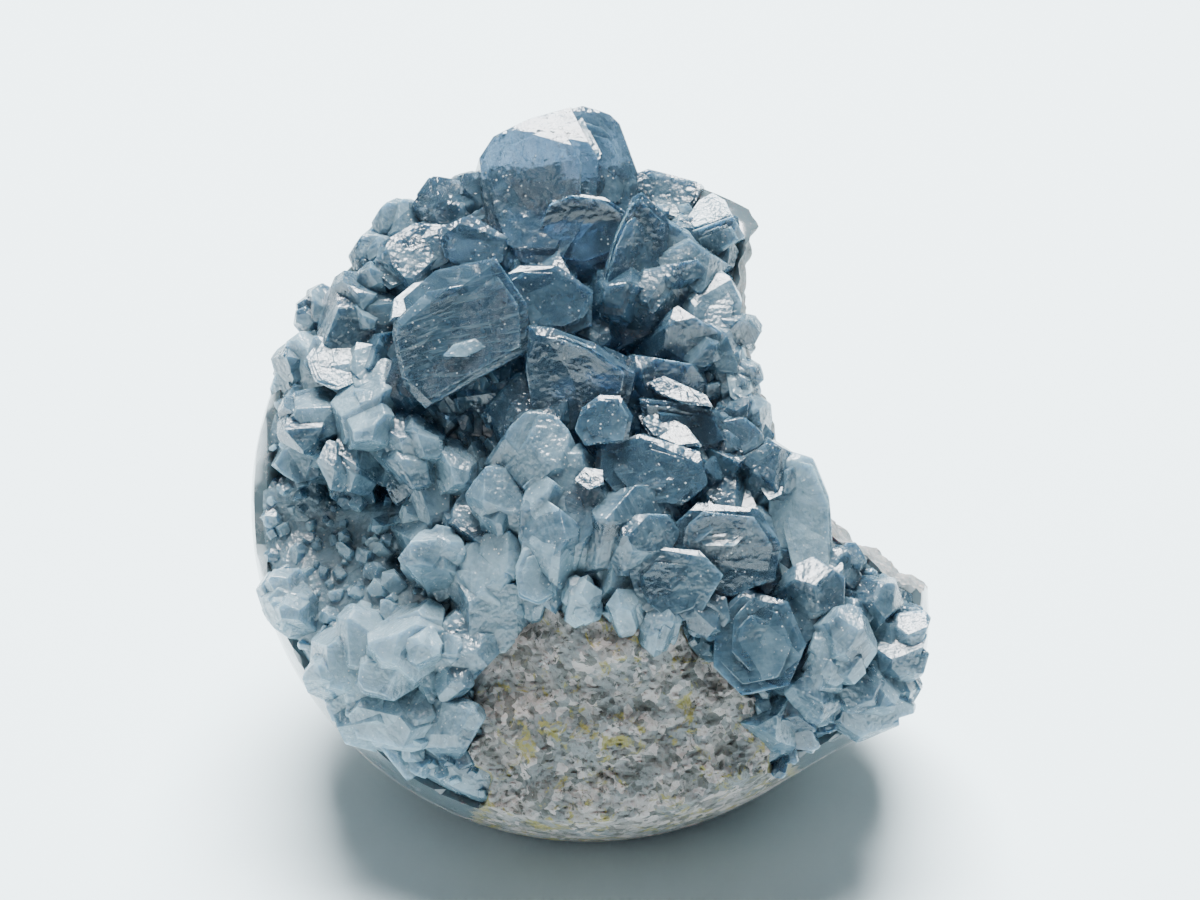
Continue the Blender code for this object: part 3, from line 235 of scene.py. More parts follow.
# The crystals whose shape the viewer sees: how the face turned to the viewer lies (height above the
# druse, lean across, lean up, extra milk, stripes, stripe direction in degrees), then its corners,
# clockwise (across, up, width of the bevel on the edge that starts there), then any facets that cut
# it (a place on their lower edge and their lean).
FACED_CRYSTALS = (
    # the dark chunk at the top: left block, white facet, right block, dusty face below
    ((12.0, 0.14, -0.14, 0.0, 0.3, 80), (
        (-15.3, 49.7, 0.5), (-13.4, 52.6, 0.5), (-8.6, 55.0, 0.6), (-2.8, 56.7, 0.0), (1.4, 49.5, 0.0),
        (1.1, 43.1, 0.0), (-4.0, 34.3, 0.0), (-11.7, 34.3, 0.0), (-14.3, 41.0, 1.4)),
        (-9.6, 53.4, 0.05, -0.72)),
    ((12.9, 0.1, -0.78, 0.2, 0.0, 0), (
        (-3.8, 54.5, 0.0), (-1.1, 56.4, 0.0), (2.1, 49.3, 0.0), (1.0, 48.3, 0.0))),
    ((11.4, -0.2, -0.1, 0.0, 0.2, 85), (
        (-2.8, 56.0, 0.4), (-0.7, 56.8, 0.6), (3.0, 55.7, 0.7), (4.7, 54.1, 1.3), (7.1, 47.6, 0.9),
        (7.1, 43.7, 0.0), (5.4, 38.9, 0.0), (0.3, 38.9, 0.0), (-2.0, 50.2, 0.0))),
    ((6.4, 0.05, 0.16, -0.15, 0.0, 0), (
        (-7.6, 38.9, 0.5), (-5.8, 43.1, 0.6), (-2.5, 44.5, 0.5), (2.3, 43.9, 0.0), (5.9, 41.4, 0.0),
        (6.5, 38.3, 0.0), (4.2, 35.7, 0.0), (0.3, 34.2, 0.0), (-4.2, 34.6, 0.0))),
    # the dark prism right of it and the grey face behind
    ((6.2, -0.45, 0.16, -0.1, 0.1, 80), (
        (6.2, 43.7, 0.0), (7.6, 44.8, 0.6), (11.7, 40.7, 1.0), (11.3, 33.2, 0.0), (7.6, 29.0, 0.0),
        (3.4, 27.3, 0.0), (1.7, 30.7, 0.0), (3.7, 38.2, 0.0))),
    ((3.6, -0.1, -0.1, 0.15, 0.0, 0), (
        (11.3, 40.7, 0.0), (14.4, 39.0, 0.5), (17.0, 35.3, 0.0), (13.3, 31.4, 0.0), (10.7, 32.9, 0.0))),
    # the prism that points right: blue face, white facet, grey underside
    ((3.2, 0.1, -0.35, 0.05, 0.2, -15), (
        (6.8, 47.1, 0.0), (8.5, 47.8, 0.5), (16.0, 45.8, 0.0), (15.4, 43.2, 0.0), (13.1, 40.0, 0.0),
        (10.2, 41.1, 0.0), (7.2, 44.5, 0.0))),
    ((3.6, 0.12, -0.8, 0.25, 0.0, 0), (
        (15.7, 43.4, 0.0), (17.7, 44.5, 0.0), (19.4, 43.4, 0.0), (20.5, 41.0, 0.0), (14.6, 38.7, 0.0),
        (13.6, 40.0, 0.0))),
    ((3.4, 0.1, 0.35, 0.15, 0.3, 20), (
        (14.4, 38.9, 0.0), (20.5, 41.0, 0.0), (22.2, 38.2, 0.5), (17.5, 35.0, 0.0), (15.1, 36.5, 0.0))),
    # the crystal below it, with its bent white facet
    ((3.8, -0.25, -0.22, 0.1, 0.0, 0), (
        (13.1, 31.1, 0.0), (15.8, 32.4, 0.0), (18.1, 34.3, 0.0), (20.1, 32.8, 0.0), (22.0, 29.2, 0.5),
        (20.9, 23.3, 0.5), (18.7, 22.0, 0.0), (15.7, 23.3, 0.0), (13.6, 26.1, 0.0)),
        (15.0, 26.7, 0.6, -0.4), (17.5, 30.7, 0.05, -0.75)),
    ((1.8, -0.3, -0.3, 0.5, 0.0, 0), (
        (19.2, 21.8, 0.0), (22.2, 22.7, 0.5), (24.0, 15.7, 0.4), (22.0, 14.3, 0.0), (20.1, 15.7, 0.0))),
    # the blue tabular crystals at the upper left
    ((7.0, 0.12, -0.2, 0.0, 0.4, 20), (
        (-30.5, 32.9, 0.4), (-29.4, 37.4, 0.5), (-24.6, 40.4, 0.0), (-18.4, 40.0, 0.0),
        (-16.4, 36.0, 0.0), (-20.6, 34.1, 0.0), (-27.1, 30.1, 0.0)), (-23.7, 38.0, 0.15, -0.7)),
    ((7.0, -0.2, -0.06, -0.05, 0.3, -10), (
        (-21.2, 39.4, 0.8), (-16.7, 41.5, 1.0), (-11.2, 38.2, 0.6), (-11.6, 34.9, 0.0),
        (-16.7, 33.2, 0.0), (-20.1, 35.2, 0.0))),
    # the big striated crystal with its white bevel, and the smooth one right of it
    ((8.8, 0.05, 0.08, -0.1, 1.5, 20), (
        (-27.7, 24.7, 0.6), (-27.4, 28.7, 0.0), (-21.2, 34.1, 0.4), (-13.0, 35.5, 0.0),
        (-8.5, 29.0, 0.0), (-8.1, 22.5, 0.7), (-23.0, 14.3, 1.2), (-26.0, 17.1, 0.7)),
        (-26.0, 25.9, 0.52, -0.62)),
    ((6.4, -0.1, -0.02, 0.05, 0.1, 60), (
        (-12.4, 32.4, 0.0), (-9.6, 34.3, 0.6), (-4.0, 34.3, 0.5), (0.8, 30.7, 0.4), (0.6, 25.9, 0.0),
        (-4.0, 23.9, 0.0), (-8.8, 24.2, 0.0))),
    # the dark tent, the bright broken facets and the rounded crystal under it
    ((7.4, -0.12, 0.26, -0.15, 0.2, -30), (
        (-8.2, 25.7, 0.5), (-4.0, 25.2, 0.6), (1.1, 23.3, 0.7), (6.8, 19.1, 0.0), (5.9, 15.1, 0.0),
        (0.0, 10.9, 0.0), (-7.3, 12.0, 0.0), (-8.6, 18.8, 0.5))),
    ((4.6, 0.1, -0.66, 0.0, 1.6, -28), (
        (8.2, 17.9, 0.0), (10.5, 18.9, 0.0), (16.7, 16.1, 0.0), (17.7, 14.4, 0.0), (14.4, 14.6, 0.0),
        (9.9, 16.2, 0.0))),
    ((4.8, 0.05, -0.6, 0.0, 1.6, -25), (
        (7.1, 13.0, 0.0), (8.8, 14.4, 0.0), (14.4, 11.4, 0.0), (16.1, 9.0, 0.0), (13.0, 8.6, 0.0),
        (8.8, 10.5, 0.0))),
    ((3.4, -0.2, 0.2, -0.1, 0.3, -30), (
        (7.3, 15.5, 0.0), (14.4, 14.8, 0.0), (18.9, 13.4, 0.5), (20.8, 9.2, 0.0), (15.8, 7.8, 0.0),
        (8.8, 9.2, 0.0))),
    ((8.0, 0.05, -0.12, 0.05, 0.0, 0), (
        (-0.8, 14.3, 0.6), (1.8, 16.1, 0.9), (4.8, 16.0, 0.7), (6.4, 13.4, 0.5), (5.7, 9.6, 0.0),
        (-0.3, 9.0, 0.0), (-1.7, 11.3, 0.0))),
    # the broad blue face in the middle
    ((6.2, 0.08, -0.08, -0.05, 0.5, 10), (
        (1.4, 8.9, 0.7), (7.3, 10.6, 0.9), (15.8, 8.1, 0.6), (17.0, 3.5, 0.0), (13.3, 0.4, 0.5),
        (4.5, 1.1, 0.0), (1.1, 4.9, 0.0))),
    # the blue crystal right of the middle with its pale facet
    ((6.0, -0.06, 0.18, -0.12, 0.2, 0), (
        (12.6, -1.8, 0.0), (15.8, 1.0, 0.8), (24.3, 0.1, 0.7), (27.4, -4.9, 0.0), (26.6, -10.0, 0.0),
        (20.1, -12.4, 0.0), (14.4, -10.9, 0.0), (12.2, -6.1, 0.0))),
    ((6.6, 0.05, -0.6, 0.15, 0.5, 70), (
        (14.8, -2.4, 0.0), (17.2, -1.0, 0.0), (21.5, -1.3, 0.0), (22.6, -3.2, 0.0), (20.9, -5.1, 0.0),
        (16.4, -5.1, 0.0))),
    ((5.4, 0.1, 0.22, -0.1, 0.0, 0), (
        (5.7, -8.1, 0.0), (8.8, -5.1, 0.6), (15.8, -5.7, 0.0), (19.2, -9.2, 0.0), (16.1, -15.0, 0.0),
        (11.0, -16.7, 0.0), (7.3, -13.7, 0.0))),
    # the pale column on the right edge
    ((3.8, -0.3, 0.02, 0.2, 0.3, 80), (
        (25.7, 6.1, 0.6), (28.3, 8.2, 0.9), (31.9, 7.2, 0.9), (34.6, 0.7, 0.6), (35.0, -9.5, 0.0),
        (32.1, -12.3, 0.0), (27.7, -10.9, 0.0), (25.6, -2.1, 0.0))),
    # the blue crystal at the lower right
    ((6.0, -0.12, -0.05, -0.02, 0.3, 0), (
        (18.2, -15.1, 0.6), (22.2, -11.2, 1.0), (28.5, -13.1, 0.8), (31.1, -19.1, 0.0),
        (28.5, -25.0, 0.0), (21.8, -26.3, 0.0), (17.8, -22.2, 0.0))),
    # the small pale one that stands over the rind patch
    ((6.4, -0.04, 0.0, 0.35, 0.0, 0), (
        (-10.2, -8.1, 0.5), (-9.0, -5.1, 0.7), (-6.1, -4.1, 0.7), (-4.2, -6.2, 0.5), (-4.4, -12.3, 0.0),
        (-6.8, -13.6, 0.0), (-9.7, -12.4, 0.0))),
    # the pale fluted facet on the left
    ((5.6, 0.12, -0.62, 0.1, 1.4, 75), (
        (-39.8, 21.1, 0.0), (-38.2, 23.9, 0.0), (-34.5, 25.3, 0.0), (-30.2, 24.4, 0.0),
        (-29.4, 21.9, 0.0), (-31.4, 18.2, 0.0), (-35.3, 16.5, 0.0), (-38.4, 17.7, 0.0))),
)

# Small facets that catch the light, too fine for the solid, drawn in the same way.
SMALL_FACED_CRYSTALS = (
    # the bevel of the big striated crystal, in two steps, and the bright band under it
    ((9.6, 0.04, -0.76, 0.2, 0.6, 20), (
        (-27.6, 26.8, 0.0), (-27.2, 29.6, 0.0), (-24.8, 31.9, 0.0), (-21.6, 32.6, 0.0),
        (-22.7, 30.0, 0.0), (-25.0, 27.4, 0.0))),
    ((9.1, 0.10, -0.70, 0.1, 0.8, 20), (
        (-22.6, 30.6, 0.0), (-21.0, 32.9, 0.0), (-17.0, 33.6, 0.0), (-16.6, 32.2, 0.0),
        (-19.8, 30.7, 0.0))),
    ((8.9, 0.06, -0.22, 0.2, 1.6, 20), (
        (-20.4, 21.6, 0.0), (-19.0, 23.2, 0.0), (-13.6, 24.9, 0.0), (-13.0, 23.4, 0.0),
        (-17.2, 21.5, 0.0))),
    # small ones that break up the fluted facets on the left
    ((6.6, -0.25, -0.35, 0.1, 0.8, 60), (
        (-33.6, 19.6, 0.3), (-32.6, 23.4, 0.4), (-29.8, 23.0, 0.3), (-29.0, 19.6, 0.0),
        (-31.4, 17.6, 0.0))),
    ((6.2, 0.35, -0.30, 0.0, 0.8, 80), (
        (-40.2, 20.6, 0.3), (-38.8, 24.4, 0.4), (-36.6, 23.8, 0.0), (-36.4, 20.0, 0.0),
        (-38.0, 17.4, 0.0))),
    ((6.4, 0.05, -0.15, -0.1, 0.6, 75), (
        (-37.0, 17.2, 0.0), (-36.2, 20.4, 0.4), (-33.8, 20.8, 0.3), (-32.6, 18.2, 0.0),
        (-34.4, 15.6, 0.0))),
    # the scaly bright facets of the crystal right of the middle
    ((7.0, 0.35, -0.30, -0.1, 1.2, 30), (
        (13.6, -3.4, 0.0), (15.2, -0.6, 0.3), (17.6, -0.4, 0.0), (17.8, -2.8, 0.0), (15.8, -4.6, 0.0))),
    ((7.0, -0.30, -0.36, -0.1, 1.2, -30), (
        (19.4, -2.4, 0.0), (20.4, -0.2, 0.3), (24.0, -0.8, 0.3), (24.4, -3.6, 0.0), (21.6, -4.6, 0.0))),
    # dusty facets in the middle and on the right edge
    ((5.4, -0.10, -0.60, 0.2, 0.8, 0), (
        (-14.6, 4.6, 0.0), (-12.8, 6.6, 0.0), (-10.2, 6.0, 0.0), (-10.6, 3.6, 0.0), (-12.8, 2.8, 0.0))),
    ((5.0, 0.15, -0.66, 0.2, 0.6, 30), (
        (24.4, 3.0, 0.0), (26.0, 5.6, 0.0), (28.0, 4.8, 0.0), (27.4, 2.0, 0.0), (25.6, 1.2, 0.0))),
    ((7.4, 0.08, -0.62, 0.1, 1.0, -10), (
        (-1.8, 4.2, 0.0), (-0.4, 6.0, 0.0), (2.2, 5.6, 0.0), (2.4, 3.6, 0.0), (0.2, 2.8, 0.0))),
)

# How far those crystals reach back into the druse, and how their sides and bevels lean.
BACK = Vector((0, 0, -1))
FACED_ROOT = 4.0
FACED_FLARE = (math.radians(-7), math.radians(7))
FACED_BEVEL = math.radians(39)
FACED_BLANK = 60.0

# How milky the crystals are, from 0 to 1, over the face of the geode.
MILK_LEVEL = 0.42
MILK_SPOTS = (
    # across, up, spread, change
    (-4, 42, 12, -0.50),
    (-16, 27, 10, -0.22),
    (-21, 36, 7, -0.14),
    (2, 16, 9, -0.30),
    (14, 4, 9, -0.22),
    (24, -12, 9, -0.20),
    (-33, 14, 8, 0.25),
    (-27, -24, 11, 0.38),
    (-18, 2, 5, 0.35),
    (-19, -12, 7, 0.20),
    (4, -15, 8, 0.40),
    (-27, 39, 7, 0.25),
    (31, -1, 7, 0.20),
    (38, -24, 8, 0.20),
)
MILK_SCATTER = 0.09

# Where the crust was ground with the dome, so that its crystals barely stand out.
CUT_SPOTS = (
    # across, up, spread
    (-40, -4, 9),
    (-30, -6, 8),
    (-41, -14, 8),
    (-42, -24, 6),
    (-31, -37, 6),
    (-20, -42, 6),
    (-45, 8, 5),
)
CUT_GREY = 0.26
CUT_SINK = 0.10
CUT_SHRINK = 0.30

# Where the ground crust is smooth, without any grains.
SMOOTH_SPOTS = (
    # across, up, spread
    (-37.5, -29.5, 4.5),
    (-32.5, -35.0, 4.5),
    (-26.5, -39.5, 4.5),
    (-19.0, -43.0, 4.0),
)
SMOOTH_SHARE = 0.35

# The hollows between the crystals, where nothing small grows and the druse's ground drops; their crystals
# and ground are also painted darker, as painted shade.
HOLLOWS = (
    # across, up, spread
    (-35, 3.0, 2.3),
    (-29, 3.0, 2.3),
    (-26, 17, 2.5),
    (-44, 5.5, 2.2),
    (-11, 20, 2.6),
    (-6, 15.5, 2.2),
    (6, 22, 3.2),
    (10, 19.5, 2.4),
    (22.5, -11, 2.6),
    (-18.5, -16.5, 3.0),
    (-26, -8, 2.0),
    (14, 10, 2.0),
)
HOLLOW_DEPTH = 3.6
HOLLOW_SHARE = 0.35
# painted shade: how far the milk drops in the hollows, which paints them a darker blue
HOLLOW_PAINTED_SHADE = 0.8

# How the steps of parallel growth differ from the crystal that they grow on.
STEP_SHIFT = 0.6
STEP_RISE = (-0.3, 0.35)
STEP_LEAN = 0.22
STEP_SHARES = (0.50, 0.92)
FACED_CHIP_SHARE = 0.5

# The crystals scattered between the large ones: rubble is middling, and grains are small.
RUBBLE_SEED = 23
RUBBLE_SINK = 0.72
RUBBLE_CUT_LIMIT = 0.45
DRUSE_SEED = 11
GRAIN_SINK = 0.05
GRAIN_CUT_LIMIT = 1.0
GRAIN_WEAR = (1, 0.2, 0.0)
GRAIN_STRIPE = 0.2
GRAIN_SCATTER = 0.15
GRAIN_SHARES = (1.0, 0.78, 0.62)
GRAIN_HABITS = (CHISEL, TABLET, BLOCK, BLOCK)
GRAIN_LEAN = 0.8
GRAIN_EDGE_SHARE = 0.85
GRAIN_PATCH_SHARE = 0.8
GRAIN_PATCH_SHRINK = 0.5

# How the surfaces bend light, and how strongly the clear crystal takes it up.
STONE_IOR = 1.58
CELESTITE_IOR = 1.62
FLOOR_IOR = 1.4
CLEAR_DENSITY = 110.0

# The camera and the lamps.
AIM_ACROSS = 1.7
AIM_UP = 7.8
LENS = 84.9
SENSOR = 36.0
LAMP_SIZE = 0.8
SOFTBOX_PLACE = (-0.02, 0.36, 1.22)
FILL_PLACE = (-1.0, -0.9, 0.8)
FLOOR_CELLS = 8


class StoneSettings(bpy.types.PropertyGroup):
    """Sizes and colours of the stone."""

    rind_relief: bpy.props.FloatProperty(
        name="Rind Relief", description="Height of the grains on the rind patch",
        default=0.0006, min=0, unit="LENGTH")
    break_relief: bpy.props.FloatProperty(
        name="Break Relief", description="Height of the chips on the broken side",
        default=0.0011, min=0, unit="LENGTH")
    rind_cell: bpy.props.FloatProperty(
        name="Rind Cell", description="Mesh size on the rind patch",
        default=0.0003, min=0.0001, unit="LENGTH")
    break_cell: bpy.props.FloatProperty(
        name="Break Cell", description="Mesh size on the broken side",
        default=0.0007, min=0.0002, unit="LENGTH")
    polish_colour: bpy.props.FloatVectorProperty(
        name="Polished Stone", description="Main colour of the polished dome",
        default=(0.115, 0.140, 0.150), min=0, max=1, subtype="COLOR")
    section_colour: bpy.props.FloatVectorProperty(
        name="Cut Section", description="Bluish band where the dome was ground through the crust",
        default=(0.060, 0.088, 0.102), min=0, max=1, subtype="COLOR")
    rim_colour: bpy.props.FloatVectorProperty(
        name="Rim Band", description="Pinkish white line of rind in the polished surface",
        default=(0.42, 0.37, 0.35), min=0, max=1, subtype="COLOR")
    rind_colour: bpy.props.FloatVectorProperty(
        name="Rind", description="Main colour of the rough rind patch",
        default=(0.27, 0.25, 0.235), min=0, max=1, subtype="COLOR")
    grain_colour: bpy.props.FloatVectorProperty(
        name="Rind Grains", description="Dark grains in the rind",
        default=(0.045, 0.045, 0.038), min=0, max=1, subtype="COLOR")
    moss_colour: bpy.props.FloatVectorProperty(
        name="Stain", description="Olive yellow stain on the rind",
        default=(0.22, 0.19, 0.035), min=0, max=1, subtype="COLOR")
    break_colour: bpy.props.FloatVectorProperty(
        name="Broken Side", description="Colour of the fresh broken surface",
        default=(0.20, 0.22, 0.22), min=0, max=1, subtype="COLOR")


class CrystalSettings(bpy.types.PropertyGroup):
    """Sizes and colours of the crystals."""

    grain_spacing: bpy.props.FloatProperty(
        name="Grain Spacing", description="Distance between the small crystals",
        default=0.0021, min=0.0012, unit="LENGTH")
    grain_smallest: bpy.props.FloatProperty(
        name="Smallest Grain", description="Half length of the smallest crystals",
        default=0.0009, min=0.0003, unit="LENGTH")
    grain_largest: bpy.props.FloatProperty(
        name="Largest Grain", description="Half length of the largest of the small crystals",
        default=0.0026, min=0.0005, unit="LENGTH")
    rubble_spacing: bpy.props.FloatProperty(
        name="Rubble Spacing", description="Distance between the middling crystals",
        default=0.0052, min=0.002, unit="LENGTH")
    rubble_smallest: bpy.props.FloatProperty(
        name="Smallest Rubble", description="Half length of the smallest middling crystals",
        default=0.0050, min=0.001, unit="LENGTH")
    rubble_largest: bpy.props.FloatProperty(
        name="Largest Rubble", description="Half length of the largest middling crystals",
        default=0.0092, min=0.001, unit="LENGTH")
    steps: bpy.props.IntProperty(
        name="Steps", description="Smaller crystals grown along with each large one", default=4, min=0)
    edge_bevel: bpy.props.FloatProperty(
        name="Edge Wear", description="Width of the worn edges of the large crystals",
        default=0.00016, min=0, unit="LENGTH")
    chips: bpy.props.IntProperty(
        name="Chips", description="Corners broken off each large crystal", default=5, min=0)
    chip_depth: bpy.props.FloatProperty(
        name="Chip Depth", description="How far a chip cuts in, as a share of the crystal's reach",
        default=0.12, min=0, max=0.5, subtype="FACTOR")
    clear_colour: bpy.props.FloatVectorProperty(
        name="Clear Crystal", description="Colour of light that has crossed the clear crystal",
        default=(0.34, 0.60, 0.80), min=0, max=1, subtype="COLOR")
    blue_colour: bpy.props.FloatVectorProperty(
        name="Cloudy Blue", description="Colour of the cloud inside the blue crystals",
        default=(0.034, 0.072, 0.104), min=0, max=1, subtype="COLOR")
    milk_colour: bpy.props.FloatVectorProperty(
        name="Milky White", description="Colour of the cloud inside the pale crystals",
        default=(0.215, 0.315, 0.370), min=0, max=1, subtype="COLOR")
    dust_colour: bpy.props.FloatVectorProperty(
        name="Dust", description="Colour of the pale dust on the crystals",
        default=(0.46, 0.48, 0.47), min=0, max=1, subtype="COLOR")


class StageSettings(bpy.types.PropertyGroup):
    """The floor, the lamps and the sky."""

    floor_half: bpy.props.FloatProperty(
        name="Floor Half Width", description="Half the width of the floor", default=2.0, unit="LENGTH")
    floor_colour: bpy.props.FloatVectorProperty(
        name="Floor", description="Colour of the floor",
        default=(0.70, 0.84, 0.89), min=0, max=1, subtype="COLOR")
    softbox_power: bpy.props.FloatProperty(
        name="Overhead Softbox", description="Power of the large lamp above and behind",
        default=107.0, min=0, unit="POWER")
    fill_power: bpy.props.FloatProperty(
        name="Front Fill", description="Power of the weak lamp at the front left",
        default=3.0, min=0, unit="POWER")
    sky_colour: bpy.props.FloatVectorProperty(
        name="Sky", description="Colour of the even light all round",
        default=(0.93, 0.97, 1.0), min=0, max=1, subtype="COLOR")
    sky_strength: bpy.props.FloatProperty(
        name="Sky Strength", description="Brightness of the even light all round", default=0.19, min=0)


class Wire:
    """An output of a shader node that can be used in arithmetic."""

    def __init__(self, recipe, socket):
        self.recipe = recipe
        self.socket = socket

    def __add__(self, other):
        return self.recipe.math("ADD", self, other)

    def __radd__(self, other):
        return self.recipe.math("ADD", other, self)

    def __sub__(self, other):
        return self.recipe.math("SUBTRACT", self, other)

    def __rsub__(self, other):
        return self.recipe.math("SUBTRACT", other, self)

    def __mul__(self, other):
        return self.recipe.math("MULTIPLY", self, other)

    def __rmul__(self, other):
        return self.recipe.math("MULTIPLY", other, self)

    def at_most(self, other):
        return self.recipe.math("MINIMUM", self, other)


class Recipe:
    """A material, written as named nodes and expressions."""

    def __init__(self, name):
        self.material = bpy.data.materials.new(name)
        self.material.use_nodes = True
        self.tree = self.material.node_tree
        self.tree.nodes.clear()

    def node(self, kind, settings, sockets, output=0):
        """Make a node: its settings first, then the values or links of its sockets."""
        made = self.tree.nodes.new(kind)
        for name, value in settings.items():
            setattr(made, name, value)
        for name, value in sockets.items():
            if isinstance(value, Wire):
                self.tree.links.new(value.socket, made.inputs[name])
            else:
                made.inputs[name].default_value = value
        return Wire(self, made.outputs[output]) if made.outputs else None

    def math(self, operation, *values):
        """Work out one operation on values or links."""
        return self.node("ShaderNodeMath", {"operation": operation}, dict(enumerate(values)))

    def place_mm(self):
        """Give the place on the piece, in millimetres."""
        coordinates = self.node("ShaderNodeTexCoord", {}, {}, "Object")
        return self.node("ShaderNodeVectorMath", {"operation": "SCALE"}, {0: coordinates, "Scale": 1 / MM})

    def map_parts(self, name):
        """Give the two values that a map holds."""
        found = self.node("ShaderNodeUVMap", {"uv_map": name}, {})
        parts = self.node("ShaderNodeSeparateXYZ", {}, {0: found})
        return parts, Wire(self, parts.socket.node.outputs[1])

    def noise(self, place, size, detail=3.0, roughness=0.5, distortion=0.0):
        """Give cloudy noise of a feature size in millimetres."""
        return self.node(
            "ShaderNodeTexNoise", {"noise_dimensions": "3D"},
            {"Vector": place, "Scale": 1 / size, "Detail": detail, "Roughness": roughness,
             "Distortion": distortion})

    def cells(self, place, size, output="Distance"):
        """Give the pattern of a cell texture of a cell size in millimetres."""
        return self.node(
            "ShaderNodeTexVoronoi", {"voronoi_dimensions": "3D", "feature": "F1"},
            {"Vector": place, "Scale": 1 / size}, output)

    def noise_colour(self, place, size):
        """Give three kinds of cloudy noise at once, as a direction."""
        sockets = {"Vector": place, "Scale": 1 / size}
        return self.node("ShaderNodeTexNoise", {"noise_dimensions": "3D"}, sockets, "Color")

    def blend_places(self, place, direction, reach):
        """Shift a place along a direction, by up to about a reach in millimetres."""
        sockets = {0: direction, 1: (reach,) * 3, 2: place}
        return self.node("ShaderNodeVectorMath", {"operation": "MULTIPLY_ADD"}, sockets)

    def shade(self, colour):
        """Give one part of a colour as a value."""
        return self.node("ShaderNodeSeparateColor", {}, {0: colour})

    def fade(self, value, low, high, start=0.0, end=1.0):
        """Go smoothly from one value to another as a value passes from low to high."""
        return self.node(
            "ShaderNodeMapRange", {"interpolation_type": "SMOOTHSTEP"},
            {"Value": value, "From Min": low, "From Max": high, "To Min": start, "To Max": end})

    def blend(self, share, first, second):
        """Mix two colours."""
        first = first if isinstance(first, Wire) else (*first, 1)
        second = second if isinstance(second, Wire) else (*second, 1)
        return self.node("ShaderNodeMix", {"data_type": "RGBA"}, {0: share, 6: first, 7: second}, 2)

    def bump(self, height, depth, strength=1.0, normal=None):
        """Raise the surface by a height of the given depth in millimetres."""
        sockets = {"Height": height, "Distance": depth * MM, "Strength": strength}
        if normal:
            sockets["Normal"] = normal
        return self.node("ShaderNodeBump", {}, sockets)

    def surface(self, sockets):
        """Give an everyday surface with the given sockets."""
        return self.node("ShaderNodeBsdfPrincipled", {}, sockets)

    def finish(self, surface, volume=None):
        """Give the material its surface and volume."""
        sockets = {"Surface": surface}
        if volume:
            sockets["Volume"] = volume
        self.node("ShaderNodeOutputMaterial", {}, sockets)
        return self.material


def place(across, up, toward):
    """Turn a place seen in the layout plane, in millimetres, into a point of the model in metres."""
    shrink = 1 - toward / VIEW_DISTANCE
    point = DOME_CENTRE + ACROSS * across * shrink + UP * up * shrink + TOWARD * toward
    return point * MM


def seen_place(point):
    """Give where a point of the model is seen in the layout plane, across and up in millimetres."""
    off = point / MM - DOME_CENTRE
    shrink = 1 - off.dot(TOWARD) / VIEW_DISTANCE
    return off.dot(ACROSS) / shrink, off.dot(UP) / shrink


def turn(across, up, toward):
    """Turn a direction of the layout plane into a direction of the model."""
    return (ACROSS * across + UP * up + TOWARD * toward).normalized()


def ease(value):
    """Go smoothly from 0 to 1 as the value does."""
    value = min(1.0, max(0.0, value))
    return value * value * (3 - 2 * value)


def outline_radius(across, up):
    """Give the dome's radius, which swells at the lower right corner."""
    off = (math.atan2(up, across) - CORNER_ANGLE) / CORNER_SPREAD
    return DOME_RADIUS + CORNER_REACH * math.exp(-off * off)


def break_distance(across, up, toward):
    """Give how far a place lies from the broken right side, positive inside the stone."""
    wander = BREAK_ROUGHNESS * noise.noise(Vector((across, up, toward)) / BREAK_LUMP)
    flare = BREAK_FLARE * max(0.0, -toward)
    off = math.hypot(across - BREAK_CENTRE[0], up - BREAK_CENTRE[1])
    return off - BREAK_RADIUS - flare + wander


def edge_distance(across, up):
    """Give how far a place lies inside the nearest edge of the front."""
    return min(outline_radius(across, up) - math.hypot(across, up), break_distance(across, up, 0))


def crystal_surface(across, up):
    """Give the height of the druse, without the crystals that stand on it."""
    share = math.hypot(across, up) / outline_radius(across, up)
    height = RIM_HEIGHT - RIM_SLOPE * up + MOUND_HEIGHT * math.sqrt(max(0.0, 1 - share * share))
    height += noise.noise(Vector((across, up, 0)) / MOUND_LUMP) * MOUND_ROUGHNESS
    for hill_across, hill_up, spread, rise in MOUND_HILLS:
        off = ((across - hill_across) ** 2 + (up - hill_up) ** 2) / spread ** 2
        height += rise * math.exp(-off)
    return height


def patch_share(across, up):
    """Give 1 well inside the rind patch and 0 outside it."""
    off_across = abs(across - PATCH_CENTRE[0]) / PATCH_RADII[0]
    off_up = abs(up - PATCH_CENTRE[1] + PATCH_TILT * (across - PATCH_CENTRE[0])) / PATCH_RADII[1]
    ragged = noise.noise(Vector((across, up, PATCH_NOISE_LEVEL)) / PATCH_LUMP) * PATCH_RAGGED
    reach = off_across ** PATCH_POWER + off_up ** PATCH_POWER + ragged
    return ease((1 - reach) / PATCH_BLEND + PATCH_LINE)


def matrix_surface(across, up):
    """Give the height of the stone's front, which the crust covers except on the rim and the patch."""
    under_crust = ease((edge_distance(across, up) - RIM_WIDTH) / RIM_FALL)
    patch = patch_share(across, up)
    lump = noise.noise(Vector((across, up, 0)) / PATCH_LUMP) * PATCH_ROUGHNESS
    bare = max(RIM_PROUD * (1 - under_crust), patch * PATCH_RISE) + patch * lump
    return crystal_surface(across, up) - CRUST_DEPTH * under_crust * (1 - patch) + bare


def surface_normal(across, up):
    """Give the direction in which the druse faces at a place."""
    slope_across = crystal_surface(across + SLOPE_STEP, up) - crystal_surface(across - SLOPE_STEP, up)
    slope_up = crystal_surface(across, up + SLOPE_STEP) - crystal_surface(across, up - SLOPE_STEP)
    return Vector((-slope_across, -slope_up, 2 * SLOPE_STEP)).normalized()


def near_spots(spots, across, up):
    """Give each spot's pull on a place, from 0 far away to 1 in its middle."""
    for spot in spots:
        off = ((across - spot[0]) ** 2 + (up - spot[1]) ** 2) / spot[2] ** 2
        yield math.exp(-off), spot


